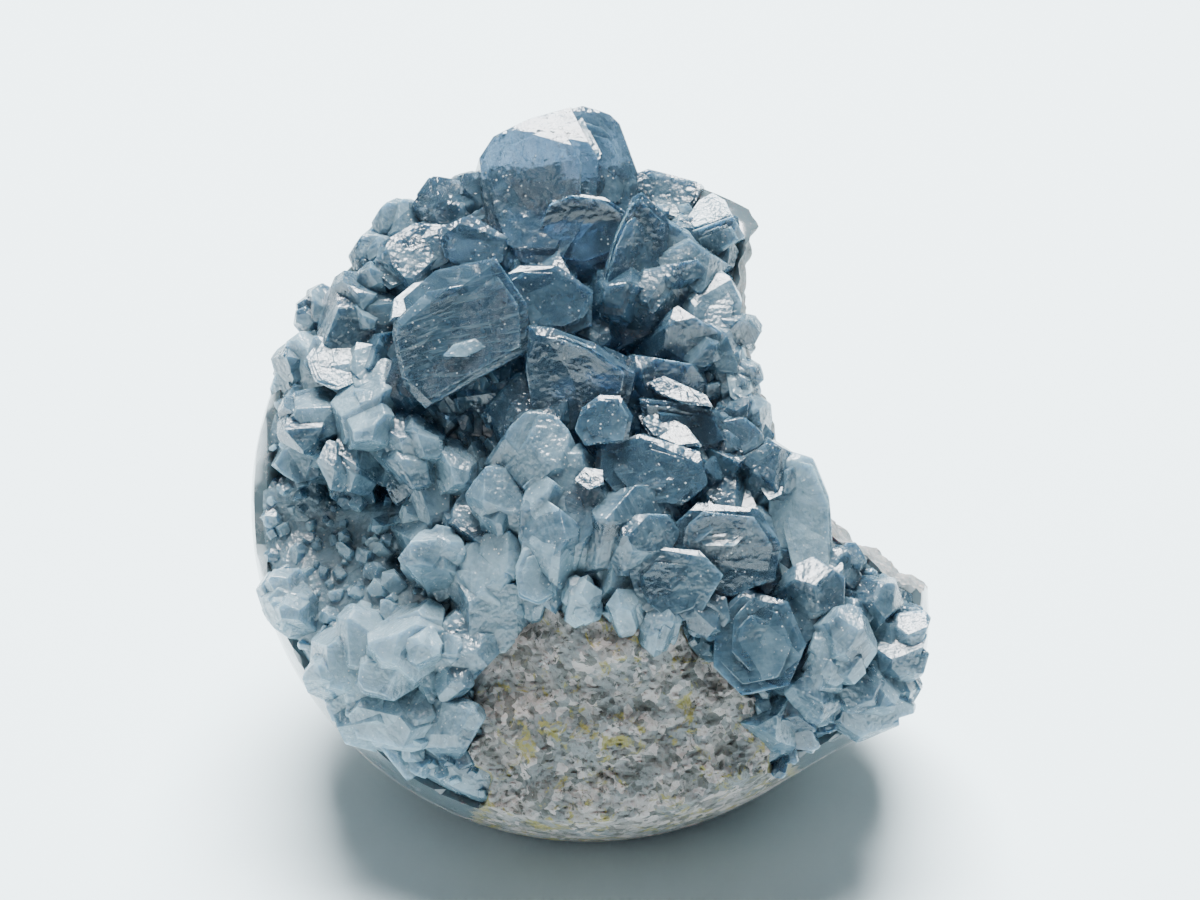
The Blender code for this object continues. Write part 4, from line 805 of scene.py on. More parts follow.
def spot_share(spots, across, up):
    """Give 1 on the spots and 0 well away from them."""
    return min(1.0, sum(pull for pull, _ in near_spots(spots, across, up)))


def milkiness(across, up):
    """Give how milky the crystals are at a place, made less milky in the hollows as painted shade."""
    hollow = spot_share(HOLLOWS, across, up)
    # painted shade: the hollows lose milk, so their crystals and ground turn a darker blue
    level = MILK_LEVEL - HOLLOW_PAINTED_SHADE * hollow + CUT_GREY * spot_share(CUT_SPOTS, across, up)
    return level + sum(pull * spot[3] for pull, spot in near_spots(MILK_SPOTS, across, up))


def sheet_surface(across, up):
    """Give the height of the druse's ground, which drops in the hollows."""
    return crystal_surface(across, up) - HOLLOW_DEPTH * spot_share(HOLLOWS, across, up)


def paint(bm, name, values):
    """Write two values for each corner into a map, from the corner's place."""
    layer = bm.loops.layers.uv.get(name) or bm.loops.layers.uv.new(name)
    for face in bm.faces:
        for loop in face.loops:
            loop[layer].uv = values(loop.vert.co)


def finish_mesh(bm, name):
    """Turn a mesh's faces out and keep it under the given name."""
    bmesh.ops.recalc_face_normals(bm, faces=bm.faces)
    mesh = bpy.data.meshes.new(name)
    bm.to_mesh(mesh)
    bm.free()
    return mesh


def cut(bm, normal, distance):
    """Cut a solid with one flat face, at a distance from the origin along its normal, and close it."""
    whole = bm.verts[:] + bm.edges[:] + bm.faces[:]
    bmesh.ops.bisect_plane(
        bm, geom=whole, dist=CUT_TOLERANCE, plane_co=normal * distance, plane_no=normal, clear_outer=True)
    rim = [edge for edge in bm.edges if edge.is_boundary]
    if rim:
        bmesh.ops.holes_fill(bm, edges=rim)


def combine(base, operands, operation):
    """Apply one Boolean of a mesh with a list of meshes, and give the result as a mesh."""
    group = bpy.data.collections.new("operands")
    bpy.context.scene.collection.children.link(group)
    helpers = []
    for mesh in operands:
        helper = bpy.data.objects.new("operand", mesh)
        group.objects.link(helper)
        helpers.append(helper)
    target = bpy.data.objects.new("target", base)
    bpy.context.scene.collection.objects.link(target)
    boolean = target.modifiers.new("combine", "BOOLEAN")
    boolean.operation = operation
    boolean.operand_type = "COLLECTION"
    boolean.collection = group
    boolean.solver = "MANIFOLD"
    bpy.context.view_layer.update()
    depsgraph = bpy.context.evaluated_depsgraph_get()
    result = bpy.data.meshes.new_from_object(target.evaluated_get(depsgraph))
    for helper in helpers + [target]:
        bpy.data.objects.remove(helper)
    bpy.data.collections.remove(group)
    for mesh in operands + [base]:
        bpy.data.meshes.remove(mesh)
    return result


def dome_blank(inset):
    """Make the whole rounded nodule before it is broken open."""
    bm = bmesh.new()
    bmesh.ops.create_icosphere(bm, subdivisions=DOME_DIVISIONS, radius=1)
    reach = {}
    for vert in bm.verts:
        radius = outline_radius(vert.co.x, vert.co.y) - inset
        depth = radius if vert.co.z > 0 else DOME_DEPTH - inset
        seen = Vector((vert.co.x * radius, vert.co.y * radius, vert.co.z * depth))
        vert.co = place(*seen)
        reach[vert] = seen
    rim_map = bm.loops.layers.uv.new("rim")
    bm.loops.layers.uv.new("surface")
    for face in bm.faces:
        for loop in face.loops:
            seen = reach[loop.vert]
            loop[rim_map].uv = (rim_depth(seen), rind_below(seen))
    return finish_mesh(bm, "dome")


def rim_depth(seen):
    """Give how far behind the front edge a place on the dome lies, in millimetres."""
    span = math.hypot(seen.x, seen.y) or 1.0
    radius = outline_radius(seen.x, seen.y)
    edge = crystal_surface(seen.x / span * radius, seen.y / span * radius)
    return edge - seen.z


def rind_below(seen):
    """Give 1 where the rind patch reaches the dome's edge beside a place, and 0 elsewhere."""
    span = math.hypot(seen.x, seen.y) or 1.0
    reach = outline_radius(seen.x, seen.y) - RIM_FALL
    return patch_share(seen.x / span * reach, seen.y / span * reach)


def close_block(bm, push):
    """Make a closed block out of an open sheet by pushing a copy of it away."""
    made = bmesh.ops.extrude_face_region(bm, geom=bm.faces[:], use_keep_orig=True)
    pushed = [item for item in made["geom"] if isinstance(item, bmesh.types.BMVert)]
    bmesh.ops.translate(bm, verts=pushed, vec=push * MM)
    bmesh.ops.triangulate(bm, faces=bm.faces)


def front_cutter(front, cell, rind_cell=None, relief=0.0):
    """Make the block that is taken away in front of the stone or of the crust."""
    bm = bmesh.new()
    count = round(2 * FRONT_HALF / cell)
    bmesh.ops.create_grid(bm, x_segments=count, y_segments=count, size=FRONT_HALF)
    if rind_cell:
        on_rind = [
            edge for edge in bm.edges
            if any(patch_share(vert.co.x, vert.co.y) > 0 for vert in edge.verts)
            and all(vert.co.length < DOME_RADIUS + cell for vert in edge.verts)
        ]
        cuts = max(1, round(cell / rind_cell) - 1)
        bmesh.ops.subdivide_edges(bm, edges=on_rind, cuts=cuts, use_grid_fill=True)
    surface_map = bm.loops.layers.uv.new("surface")
    shares = {}
    noise.seed_set(RIND_TWIST_SEED)
    for vert in bm.verts:
        across, up = vert.co.x, vert.co.y
        share = patch_share(across, up)
        grain = rind_grain(across, up) * relief * share if rind_cell else 0.0
        vert.co = place(across, up, front(across, up) + grain)
        shares[vert] = share
    for face in bm.faces:
        for loop in face.loops:
            loop[surface_map].uv = (shares[loop.vert], 0)
    bm.loops.layers.uv.new("rim")
    close_block(bm, TOWARD * FAR)
    return finish_mesh(bm, "front_cutter")


def rind_grain(across, up):
    """Give the relief of the rind's flaky grains, about -1 to 1."""
    twist = noise.noise_vector(Vector((across, up, 1.0)) / RIND_TWIST_SIZE) * RIND_TWIST
    flake = noise.voronoi((Vector((across, up, 3.0)) + twist) / RIND_FLAKE_SIZE)[0]
    lump = noise.noise(Vector((across, up, 5.0)) / RIND_LUMP_SIZE)
    pit = noise.noise(Vector((across, up, 7.0)) / RIND_PIT_SIZE)
    return RIND_FLAKES * (flake[1] - flake[0] - RIND_FLAKE_MEAN) + RIND_LUMPS * lump + RIND_PITS * pit


def break_cutter(cell, inset=0.0, relief=0.0):
    """Make the block that is taken away on the broken right side."""
    bm = bmesh.new()
    start, end = BREAK_ANGLES
    near, far = BREAK_SPAN
    bmesh.ops.create_grid(
        bm, x_segments=round((end - start) * BREAK_RADIUS / cell), y_segments=round((far - near) / cell),
        size=1)
    for vert in bm.verts:
        angle = start + (end - start) * (vert.co.x + 1) / 2
        toward = near + (far - near) * (vert.co.y + 1) / 2
        radius = BREAK_RADIUS + BREAK_FLARE * max(0.0, -toward) + inset
        across = BREAK_CENTRE[0] + radius * math.cos(angle)
        up = BREAK_CENTRE[1] + radius * math.sin(angle)
        seen = Vector((across, up, toward))
        radius -= BREAK_ROUGHNESS * noise.noise(seen / BREAK_LUMP)
        radius += relief * break_grain(seen)
        across = BREAK_CENTRE[0] + radius * math.cos(angle)
        up = BREAK_CENTRE[1] + radius * math.sin(angle)
        vert.co = place(across, up, toward)
    paint(bm, "surface", lambda corner: (0, 1))
    bm.loops.layers.uv.new("rim")
    close_block(bm, ACROSS * FAR)
    return finish_mesh(bm, "break_cutter")


def break_grain(seen):
    """Give the relief of the broken side, about -1 to 1."""
    chip = noise.voronoi(seen / BREAK_CHIP_SIZE)[0][0]
    crumb = noise.noise(seen / BREAK_CRUMB_SIZE)
    lump = noise.noise(seen / BREAK_LUMP_SIZE)
    return BREAK_CHIPS * (chip - BREAK_CHIP_MEAN) + BREAK_CRUMBS * crumb + BREAK_LUMPS * lump


def nodule(front, breaking, inset):
    """Break and cut the whole nodule open, and set it on its small flat."""
    opened = combine(dome_blank(inset), [front, breaking], "DIFFERENCE")
    bm = bmesh.new()
    bm.from_mesh(opened)
    bpy.data.meshes.remove(opened)
    cut(bm, DOWN, -inset * MM)
    return bm


def add_piece(name, mesh, material, node):
    """Show a finished piece in place of its solid."""
    mesh.name = name
    mesh.materials.clear()
    mesh.materials.append(material)
    piece = bpy.data.objects.new(name, mesh)
    bpy.context.scene.collection.objects.link(piece)
    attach(piece, "root")
    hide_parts(node)
    return piece


def stone_material(settings):
    """Polished grey dome, bluish cut band and pale rim, rough pinkish rind and the broken side."""
    recipe = Recipe("geode_stone")
    here = recipe.place_mm()
    rind, broken = recipe.map_parts("surface")
    depth, below_rind = recipe.map_parts("rim")
    wander = recipe.noise(here, 7.0, 3, 0.5)
    over_edge = below_rind * recipe.fade(depth + (wander - 0.5) * 9, 13.0, 8.0)
    rind = (rind + over_edge).at_most(1.0)

    cloud = recipe.noise(here, 11.0, 4, 0.6, 0.6)
    mottle = recipe.noise(here, 2.6, 5, 0.65)

    # the polished dome
    dome = recipe.blend(recipe.fade(cloud, 0.42, 0.62), settings.polish_colour, settings.rind_colour)
    dome = recipe.blend(recipe.fade(mottle, 0.56, 0.72) * 0.55, dome, settings.rim_colour)
    dome = recipe.blend(recipe.fade(mottle, 0.44, 0.30) * 0.6, dome, settings.grain_colour)
    band = depth + (wander - 0.5) * 5
    section = recipe.blend(recipe.fade(mottle, 0.5, 0.72), settings.section_colour, settings.polish_colour)
    dome = recipe.blend(recipe.fade(band, 9.0, 7.0) * (1 - below_rind * 0.8), dome, settings.rim_colour)
    dome = recipe.blend(recipe.fade(band, 6.4, 5.2) * (1 - below_rind), dome, section)

    # the rough rind: pinkish grey with dark and pale flakes and an olive stain, most along its edge
    twisted = recipe.blend_places(here, recipe.noise_colour(here, 2.5), 2.2)
    flake = recipe.noise(twisted, 0.95, 4, 0.7)
    fleck = recipe.cells(twisted, 1.25, "Color")
    blush = recipe.noise(here, 6.0, 3, 0.5)
    rough = recipe.blend(recipe.fade(blush, 0.40, 0.60) * 0.7, settings.rind_colour, settings.polish_colour)
    rough = recipe.blend(recipe.fade(cloud, 0.50, 0.36) * 0.45, rough, settings.grain_colour)
    rough = recipe.blend(recipe.fade(recipe.shade(fleck), 0.62, 0.90) * 0.8, rough, settings.rim_colour)
    rough = recipe.blend(recipe.fade(recipe.shade(fleck), 0.30, 0.10) * 0.75, rough, settings.grain_colour)
    rough = recipe.blend(recipe.fade(flake, 0.46, 0.34), rough, settings.grain_colour)
    stain = recipe.noise(here, 3.6, 4, 0.7, 1.2)
    patch_edge = recipe.fade(rind, 1.02, 0.70)
    stained = recipe.fade(stain + patch_edge * 0.32, 0.55, 0.63) * recipe.fade(flake, 0.36, 0.50)
    rough = recipe.blend(stained * 0.9, rough, settings.moss_colour)

    # the broken side
    chips = recipe.cells(here, 2.4)
    sugar = recipe.noise(here, 0.9, 4, 0.7)
    fresh = recipe.blend(recipe.fade(chips, 0.1, 0.7), settings.break_colour, settings.polish_colour)
    fresh = recipe.blend(recipe.fade(sugar, 0.50, 0.70) * 0.8, fresh, settings.rim_colour)
    fresh = recipe.blend(recipe.fade(stain, 0.58, 0.70) * 0.4, fresh, settings.moss_colour)

    colour = recipe.blend(broken, recipe.blend(rind, dome, rough), fresh)
    dull = (rind + broken).at_most(1.0)
    sheen = recipe.fade(mottle, 0.35, 0.7, 0.16, 0.30)
    rough_sheen = recipe.fade(sugar, 0.3, 0.7, 0.40, 0.85)
    roughness = sheen * (1 - dull) + rough_sheen * dull
    fine = recipe.noise(here, 0.35, 4, 0.75)
    relief = (flake * 0.6 + fine * 0.4) * rind + (sugar * 0.7 + chips * 0.6) * broken
    scratches = recipe.noise(here, 1.6, 2, 0.5)
    normal = recipe.bump(scratches, 0.02)
    normal = recipe.bump(relief, 0.55, 1.0, normal)
    shader = recipe.surface({
        "Base Color": colour, "Roughness": roughness, "Normal": normal, "IOR": STONE_IOR,
        "Coat Weight": (1 - dull) * 0.5, "Coat Roughness": 0.08,
        "Subsurface Weight": 0.12, "Subsurface Scale": 0.002,
    })
    return recipe.finish(shader)


def celestite_material(settings):
    """Cloudy blue crystal with shards inside, growth stripes outside, and pale dust on it."""
    recipe = Recipe("geode_celestite")
    here = recipe.place_mm()
    side, along = recipe.map_parts("growth")
    milk, stripe = recipe.map_parts("nature")

    # the cloud inside: soft veils, broken up into flat-sided shards
    veil = recipe.noise(here, 5.5, 3, 0.62, 0.9)
    wisp = recipe.noise(here, 1.5, 3, 0.7)
    bend = recipe.noise_colour(here, 6.0)
    shard = recipe.shade(recipe.cells(recipe.blend_places(here, bend, 3.0), 4.2, "Color"))
    cloud = milk + (veil - 0.5) * 0.8 + (wisp - 0.5) * 0.3 + (shard - 0.5) * 0.3

    # growth stripes and the waves of the glassy faces
    growth = recipe.node("ShaderNodeCombineXYZ", {}, {0: side, 1: along * 0.10, 2: 0.0})
    bands = recipe.noise(growth, 0.7, 2, 0.6)
    wave = recipe.noise(here, 2.2, 2, 0.5)
    dents = recipe.noise(here, 0.55, 2, 0.65)
    normal = recipe.bump(wave, 0.40)
    normal = recipe.bump(bands * stripe, 0.14, 1.0, normal)
    normal = recipe.bump(dents * recipe.fade(milk, 0.0, 0.8, 0.5, 1.6), 0.10, 0.9, normal)

    # dust and bright specks
    dust_grain = recipe.cells(here, 0.95)
    dust_field = recipe.noise(here, 7.0, 3, 0.6)
    dust = recipe.fade(dust_grain, 0.17, 0.08) * recipe.fade(dust_field, 0.44, 0.62)
    stripes = recipe.fade(bands, 0.50, 0.66) * stripe.at_most(1.0)
    tint = recipe.blend(recipe.fade(cloud, 0.15, 1.15), settings.blue_colour, settings.milk_colour)
    tint = recipe.blend(stripes * 0.30, tint, settings.milk_colour)
    tint = recipe.blend(dust, tint, settings.dust_colour)

    gloss = recipe.fade(wisp, 0.35, 0.75, 0.06, 0.26)
    clear = recipe.surface({
        "Base Color": (0.92, 0.96, 1.0, 1), "Roughness": gloss + 0.05, "IOR": CELESTITE_IOR,
        "Transmission Weight": 1.0, "Normal": normal,
    })
    cloudy = recipe.surface({
        "Base Color": tint, "Roughness": gloss + 0.06, "IOR": CELESTITE_IOR, "Normal": normal,
        "Subsurface Weight": 0.75, "Subsurface Scale": 0.004, "Subsurface Radius": (0.6, 0.8, 1.0),
    })
    share = (recipe.fade(cloud, -0.2, 0.8, 0.52, 0.96) + dust).at_most(1.0)
    surface = recipe.node("ShaderNodeMixShader", {}, {0: share, 1: clear, 2: cloudy})
    inside = recipe.node(
        "ShaderNodeVolumeAbsorption", {}, {"Color": (*settings.clear_colour, 1), "Density": CLEAR_DENSITY})
    return recipe.finish(surface, inside)


def floor_material(settings):
    """Pale, even, slightly woven ground."""
    recipe = Recipe("pale_floor")
    here = recipe.place_mm()
    weave = recipe.noise(here, 1.4, 2, 0.5)
    shader = recipe.surface({
        "Base Color": (*settings.floor_colour, 1), "Roughness": 0.75, "IOR": FLOOR_IOR,
        "Normal": recipe.bump(weave, 0.08, 0.5),
    })
    return recipe.finish(shader)


def uneven(chance, distance):
    """Shift one face of a crystal in or out a little."""
    return distance * (1 + chance.uniform(-FACE_UNEVENNESS, FACE_UNEVENNESS))


def crystal(chance, middle, growth, broad, half_sizes, habit, wear, nature):
    """Make one crystal from its five kinds of face, with chipped corners and worn edges."""
    long, wide, thick = half_sizes
    chisel_share, prism_share, side_share = (
        share * (1 + chance.uniform(-HABIT_SPREAD, HABIT_SPREAD)) for share in habit)
    chisel_reach = (long * chisel_share + thick * CHISEL_RIDGE) * math.cos(CHISEL_FACE_ANGLE)
    prism_reach = long * prism_share * math.cos(PRISM_FACE_ANGLE)
    side_reach = wide * side_share * math.sin(SIDE_FACE_ANGLE)
    bm = bmesh.new()
    bmesh.ops.create_cube(bm, size=BLANK_SHARE * max(half_sizes))
    for side in (1, -1):
        cut(bm, Vector((0, 0, side)), uneven(chance, thick))
        cut(bm, Vector((0, side, 0)), uneven(chance, wide))
        for other in (1, -1):
            side_face = Vector((0, side * math.sin(SIDE_FACE_ANGLE), other * math.cos(SIDE_FACE_ANGLE)))
            prism_face = Vector((side * math.cos(PRISM_FACE_ANGLE), other * math.sin(PRISM_FACE_ANGLE), 0))
            chisel_face = Vector(
                (side * math.cos(CHISEL_FACE_ANGLE), 0, other * math.sin(CHISEL_FACE_ANGLE)))
            cut(bm, side_face, uneven(chance, side_reach))
            cut(bm, prism_face, uneven(chance, prism_reach))
            cut(bm, chisel_face, uneven(chance, chisel_reach))
    wear_down(bm, wear)
    mark(bm, Vector((1, 0, 0)), nature)
    along = turn(*growth)
    wide_way = turn(*broad).cross(along).normalized()
    return set_down(bm, middle, (along, wide_way, along.cross(wide_way)))


def wear_down(bm, wear):
    """Break off some corners of a crystal and dull its edges, drawn from the crystal's own size."""
    chips, chip_depth, bevel = wear
    own = random.Random(round(sum(vert.co.length for vert in bm.verts) * WEAR_SHUFFLE))
    for _ in range(chips):
        way = Vector([own.uniform(-1, 1) for _ in range(3)]).normalized()
        reach = max(vert.co.dot(way) for vert in bm.verts)
        cut(bm, way, reach * (1 - own.uniform(*CHIP_SHARES) * chip_depth))
    if bevel > 0:
        bmesh.ops.bevel(
            bm, geom=bm.verts[:] + bm.edges[:], offset=bevel, segments=1, profile=0.5,
            affect="EDGES", material=-1, clamp_overlap=True)


def mark(bm, along, nature):
    """Note the direction of the growth stripes and the milk on a crystal."""
    first = next(iter(bm.verts))
    start = STRIPE_SPREAD * abs(math.sin(STRIPE_SHUFFLE * first.co.length))
    side = Vector((-along.y, along.x, STRIPE_SHEAR))
    paint(bm, "growth", lambda corner: (corner.dot(side) + start, corner.dot(along) + start))
    paint(bm, "nature", lambda corner: nature)


def set_down(bm, middle, axes):
    """Put a crystal made in millimetres at its place on the geode, along the given axes."""
    scale = MM * (1 - middle[2] / VIEW_DISTANCE)
    basis = Matrix(axes).transposed().to_4x4()
    bmesh.ops.transform(
        bm, matrix=Matrix.Translation(place(*middle)) @ basis @ Matrix.Scale(scale, 4), verts=bm.verts)
    return finish_mesh(bm, "crystal")


def faced_crystal(chance, face, outline, facets, wear, scatter):
    """Make a crystal from the outline and the lean of the face that it turns to the viewer."""
    height, lean_across, lean_up, milk, stripe, direction = face
    middle = [sum(corner[axis] for corner in outline) / len(outline) for axis in range(2)]

    def on_face(spot):
        """Lift a spot onto the face."""
        spot.z = lean_across * spot.x + lean_up * spot.y
        return spot

    bm = bmesh.new()
    bmesh.ops.create_cube(bm, size=FACED_BLANK)
    cut(bm, Vector((-lean_across, -lean_up, 1)).normalized(), 0.0)
    cut(bm, BACK, height + FACED_ROOT)
    for start, end in zip(outline, outline[1:] + outline[:1]):
        out = Vector((start[1] - end[1], end[0] - start[0], 0)).normalized()
        spot = on_face(
            Vector(((start[0] + end[0]) / 2 - middle[0], (start[1] + end[1]) / 2 - middle[1], 0)))
        flare = chance.uniform(*FACED_FLARE)
        wall = out * math.cos(flare) + Vector((0, 0, math.sin(flare)))
        cut(bm, wall, wall.dot(spot))
        if start[2] > 0:
            inner = on_face(spot - out * start[2])
            bevel = out * math.sin(FACED_BEVEL) + Vector((0, 0, math.cos(FACED_BEVEL)))
            cut(bm, bevel, bevel.dot(inner))
    for across, up, facet_across, facet_up in facets:
        spot = on_face(Vector((across - middle[0], up - middle[1], 0)))
        facet = Vector((-facet_across, -facet_up, 1)).normalized()
        cut(bm, facet, facet.dot(spot))
    wear_down(bm, wear)
    angle = math.radians(direction)
    nature = (milkiness(*middle) + milk + scatter, stripe)
    mark(bm, Vector((math.cos(angle), math.sin(angle), 0)), nature)
    return set_down(bm, (*middle, crystal_surface(*middle) + height), (ACROSS, UP, TOWARD))


def faced_crystals(settings):
    """Make the crystals drawn by their front faces, with steps of parallel growth and small facets."""
    nature = random.Random(RUBBLE_SEED)
    wear = (settings.chips, settings.chip_depth * FACED_CHIP_SHARE, settings.edge_bevel / MM)
    meshes = []
    for index, (face, outline, *facets) in enumerate(FACED_CRYSTALS):
        chance = random.Random(FACE_SEED + index)
        meshes.append(faced_crystal(chance, face, outline, facets, wear, 0.0))
        for _ in range(settings.steps):
            share = nature.uniform(*STEP_SHARES)
            pull = [nature.random() ** 2 for _ in outline]
            anchor = [
                sum(weight * corner[axis] for weight, corner in zip(pull, outline)) / sum(pull)
                for axis in range(2)]
            smaller = tuple(
                (anchor[0] + (corner[0] - anchor[0]) * share,
                 anchor[1] + (corner[1] - anchor[1]) * share, 0.0)
                for corner in outline)
            lean = [part + nature.uniform(-STEP_LEAN, STEP_LEAN) for part in face[1:3]]
            step_face = (face[0] + nature.uniform(*STEP_RISE), *lean, *face[3:])
            scatter = nature.uniform(-MILK_SCATTER, MILK_SCATTER)
            meshes.append(faced_crystal(nature, step_face, smaller, facets, wear, scatter))

    for face, outline in SMALL_FACED_CRYSTALS:
        meshes.append(faced_crystal(nature, face, outline, (), wear, 0.0))
    return meshes


def large_crystals(settings):
    """Make the crystals that stand out, as in the solid, with their wear."""
    nature = random.Random(DRUSE_SEED)
    wear = (settings.chips, settings.chip_depth, settings.edge_bevel / MM)
    meshes = []
    for index, (middle, growth, broad, half_sizes, habit) in enumerate(CRYSTALS):
        chance = random.Random(FACE_SEED + index)
        across, up, height = middle
        centre = Vector((across, up, crystal_surface(across, up) + height))
        milk = milkiness(across, up) + nature.uniform(-MILK_SCATTER, MILK_SCATTER)
        stripe = nature.uniform(0.0, 1.0) ** 2
        meshes.append(crystal(chance, centre, growth, broad, half_sizes, habit, wear, (milk, stripe)))
        for _ in range(settings.steps):
            shift = Vector([nature.uniform(-1, 1) for _ in range(3)]) * half_sizes[1] * STEP_SHIFT
            lean = Vector([nature.uniform(-1, 1) for _ in range(3)]) * STEP_LEAN
            meshes.append(crystal(
                nature, centre + shift, Vector(growth) + lean, Vector(broad) + lean,
                [half * nature.uniform(*STEP_SHARES) for half in half_sizes],
                habit, wear, (milk, stripe)))
    return meshes


def has_room(across, up, half_length):
    """Tell whether a scattered crystal fits here, off the rind, the hollows and the smooth section."""
    return (
        edge_distance(across, up) >= CRUST_INSET + half_length * GRAIN_EDGE_SHARE
        and spot_share(SMOOTH_SPOTS, across, up) <= SMOOTH_SHARE
        and spot_share(HOLLOWS, across, up) <= HOLLOW_SHARE
        and patch_share(across, up) <= GRAIN_PATCH_SHARE)


def scattered_crystals(seed, spacing, smallest, largest, sink_share, cut_limit):
    """Scatter small crystals between the large ones, on a grid that is shaken up."""
    chance = random.Random(seed)
    steps = math.ceil(DOME_RADIUS / spacing) + 1
    meshes = []
    for column in range(-steps, steps + 1):
        for row in range(-steps, steps + 1):
            across = (column + chance.uniform(-0.5, 0.5)) * spacing
            up = (row + chance.uniform(-0.5, 0.5)) * spacing
            jitter = Vector([chance.uniform(-1, 1) for _ in range(3)])
            roll = Vector([chance.uniform(-1, 1) for _ in range(3)])
            half_length = smallest + (largest - smallest) * chance.random() ** 2
            flat = spot_share(CUT_SPOTS, across, up)
            half_length *= 1 - CUT_SHRINK * flat
            half_length *= 1 - GRAIN_PATCH_SHRINK * patch_share(across, up)
            if flat > cut_limit or not has_room(across, up, half_length):
                continue
            growth = surface_normal(across, up) + jitter * GRAIN_LEAN
            sizes = [half_length * share for share in GRAIN_SHARES]
            sink = half_length * (sink_share + CUT_SINK * flat)
            middle = (across, up, crystal_surface(across, up) - sink)
            milk = milkiness(across, up) + chance.uniform(-GRAIN_SCATTER, GRAIN_SCATTER)
            meshes.append(crystal(
                chance, middle, growth, roll, sizes, chance.choice(GRAIN_HABITS), GRAIN_WEAR,
                (milk, GRAIN_STRIPE)))
    return meshes


class GEODE_OT_stone(bpy.types.Operator):
    """Build the stone with its polished dome, rind patch and broken side"""

    bl_idname = "geode.stone"
    bl_label = "Stone"

    def execute(self, context):
        settings = context.scene.geode_stone
        front = front_cutter(
            matrix_surface, STONE_CELL, settings.rind_cell / MM, settings.rind_relief / MM)
        breaking = break_cutter(settings.break_cell / MM, 0.0, settings.break_relief / MM)
        bm = nodule(front, breaking, 0.0)
        mesh = finish_mesh(bm, "stone")
        mesh.shade_smooth()
        mesh.set_sharp_from_angle(angle=STONE_CREASE)
        piece = add_piece("geode_stone", mesh, stone_material(settings), "matrix_shell")
        return {"FINISHED"}


class GEODE_OT_crystals(bpy.types.Operator):
    """Grow the crust: the druse sheet, the small crystals and the large ones, all one solid"""

    bl_idname = "geode.crystals"
    bl_label = "Crystals"

    def execute(self, context):
        settings = context.scene.geode_crystals
        front = front_cutter(sheet_surface, SHEET_CELL)
        sheet = nodule(front, break_cutter(SHEET_BREAK_CELL, CRUST_INSET), CRUST_INSET)
        paint(sheet, "growth", lambda corner: (corner.x / MM, corner.z / MM))
        # the sheet's milk, which is lowered in the hollows as painted shade
        paint(sheet, "nature", lambda corner: (milkiness(*seen_place(corner)), 0.0))
        for layer in ("surface", "rim"):
            sheet.loops.layers.uv.remove(sheet.loops.layers.uv[layer])
        crystals = large_crystals(settings) + faced_crystals(settings)
        crystals += scattered_crystals(
            RUBBLE_SEED, settings.rubble_spacing / MM, settings.rubble_smallest / MM,
            settings.rubble_largest / MM, RUBBLE_SINK, RUBBLE_CUT_LIMIT)
        crystals += scattered_crystals(
            DRUSE_SEED, settings.grain_spacing / MM, settings.grain_smallest / MM,
            settings.grain_largest / MM, GRAIN_SINK, GRAIN_CUT_LIMIT)
        mesh = combine(finish_mesh(sheet, "sheet"), crystals, "UNION")
        mesh.shade_flat()
        piece = add_piece("geode_crystals", mesh, celestite_material(settings), "crystal_crust")
        return {"FINISHED"}


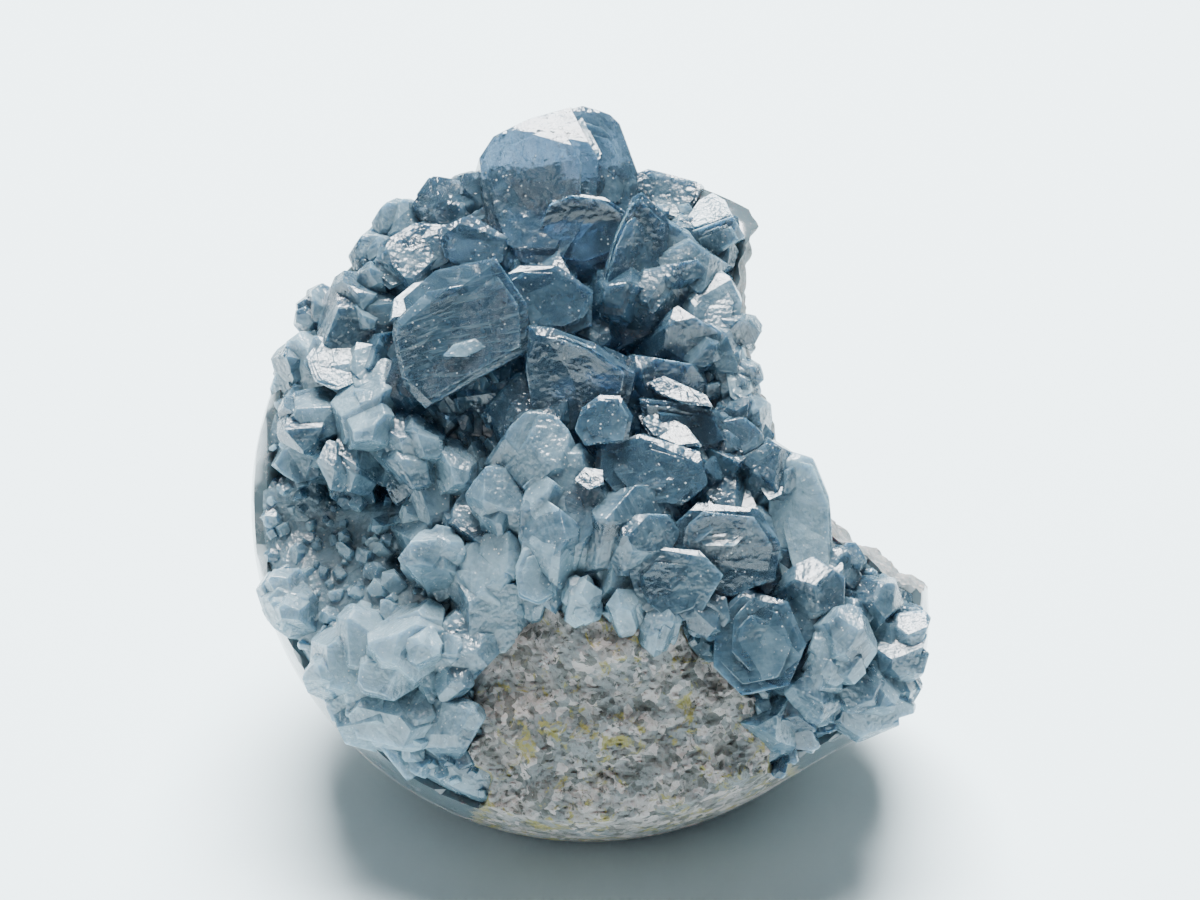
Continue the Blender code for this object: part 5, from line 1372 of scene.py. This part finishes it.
class GEODE_OT_stage(bpy.types.Operator):
    """Set the floor, the lamps, the sky and the camera"""

    bl_idname = "geode.stage"
    bl_label = "Stage"

    def execute(self, context):
        settings = context.scene.geode_stage
        self.add_floor(context, settings)
        self.add_lamp(context, "softbox", settings.softbox_power, SOFTBOX_PLACE)
        self.add_lamp(context, "fill", settings.fill_power, FILL_PLACE)
        self.add_sky(context, settings)
        self.add_camera(context)
        return {"FINISHED"}

    def add_floor(self, context, settings):
        bm = bmesh.new()
        bmesh.ops.create_grid(
            bm, x_segments=FLOOR_CELLS, y_segments=FLOOR_CELLS, size=settings.floor_half)
        bm.loops.layers.uv.new("floor")
        mesh = finish_mesh(bm, "floor")
        mesh.materials.append(floor_material(settings))
        floor = bpy.data.objects.new("floor", mesh)
        context.scene.collection.objects.link(floor)

    def add_lamp(self, context, name, power, spot):
        light = bpy.data.lights.new(name, "AREA")
        light.energy = power
        light.size = LAMP_SIZE
        lamp = bpy.data.objects.new(name, light)
        context.scene.collection.objects.link(lamp)
        lamp.location = spot
        aim = DOME_CENTRE * MM - lamp.location
        lamp.rotation_euler = aim.to_track_quat("-Z", "Y").to_euler()

    def add_sky(self, context, settings):
        sky = bpy.data.worlds.new("sky")
        sky.use_nodes = True
        background = sky.node_tree.nodes["Background"]
        background.inputs["Color"].default_value = (*settings.sky_colour, 1)
        background.inputs["Strength"].default_value = settings.sky_strength
        context.scene.world = sky

    def add_camera(self, context):
        data = bpy.data.cameras.new("camera")
        data.lens = LENS
        data.sensor_width = SENSOR
        camera = bpy.data.objects.new("camera", data)
        context.scene.collection.objects.link(camera)
        aim = (DOME_CENTRE + ACROSS * AIM_ACROSS + UP * AIM_UP) * MM
        camera.location = aim + TOWARD * VIEW_DISTANCE * MM
        camera.rotation_euler = (aim - camera.location).to_track_quat("-Z", "Y").to_euler()
        context.scene.camera = camera


class GEODE_PT_panel(bpy.types.Panel):
    """Sizes, colours and the steps of the geode"""

    bl_idname = "GEODE_PT_panel"
    bl_label = "Celestite Geode"
    bl_space_type = "VIEW_3D"
    bl_region_type = "UI"
    bl_category = "Geode"

    def draw(self, context):
        scene = context.scene
        groups = (
            (scene.geode_stone, GEODE_OT_stone),
            (scene.geode_crystals, GEODE_OT_crystals),
            (scene.geode_stage, GEODE_OT_stage),
        )
        for settings, step in groups:
            box = self.layout.box()
            for name in settings.__annotations__:
                box.prop(settings, name)
            box.operator(step.bl_idname)


SETTINGS = {
    "geode_stone": StoneSettings,
    "geode_crystals": CrystalSettings,
    "geode_stage": StageSettings,
}
STEPS = (GEODE_OT_stone, GEODE_OT_crystals, GEODE_OT_stage)


def register():
    for name, group in SETTINGS.items():
        bpy.utils.register_class(group)
        setattr(bpy.types.Scene, name, bpy.props.PointerProperty(type=group))
    for step in STEPS:
        bpy.utils.register_class(step)
    bpy.utils.register_class(GEODE_PT_panel)


def unregister():
    bpy.utils.unregister_class(GEODE_PT_panel)
    for step in reversed(STEPS):
        bpy.utils.unregister_class(step)
    for name, group in reversed(SETTINGS.items()):
        delattr(bpy.types.Scene, name)
        bpy.utils.unregister_class(group)


def main():
    register()
    bpy.ops.geode.stone()
    bpy.ops.geode.crystals()
    bpy.ops.geode.stage()


if __name__ == "__main__":
    main()
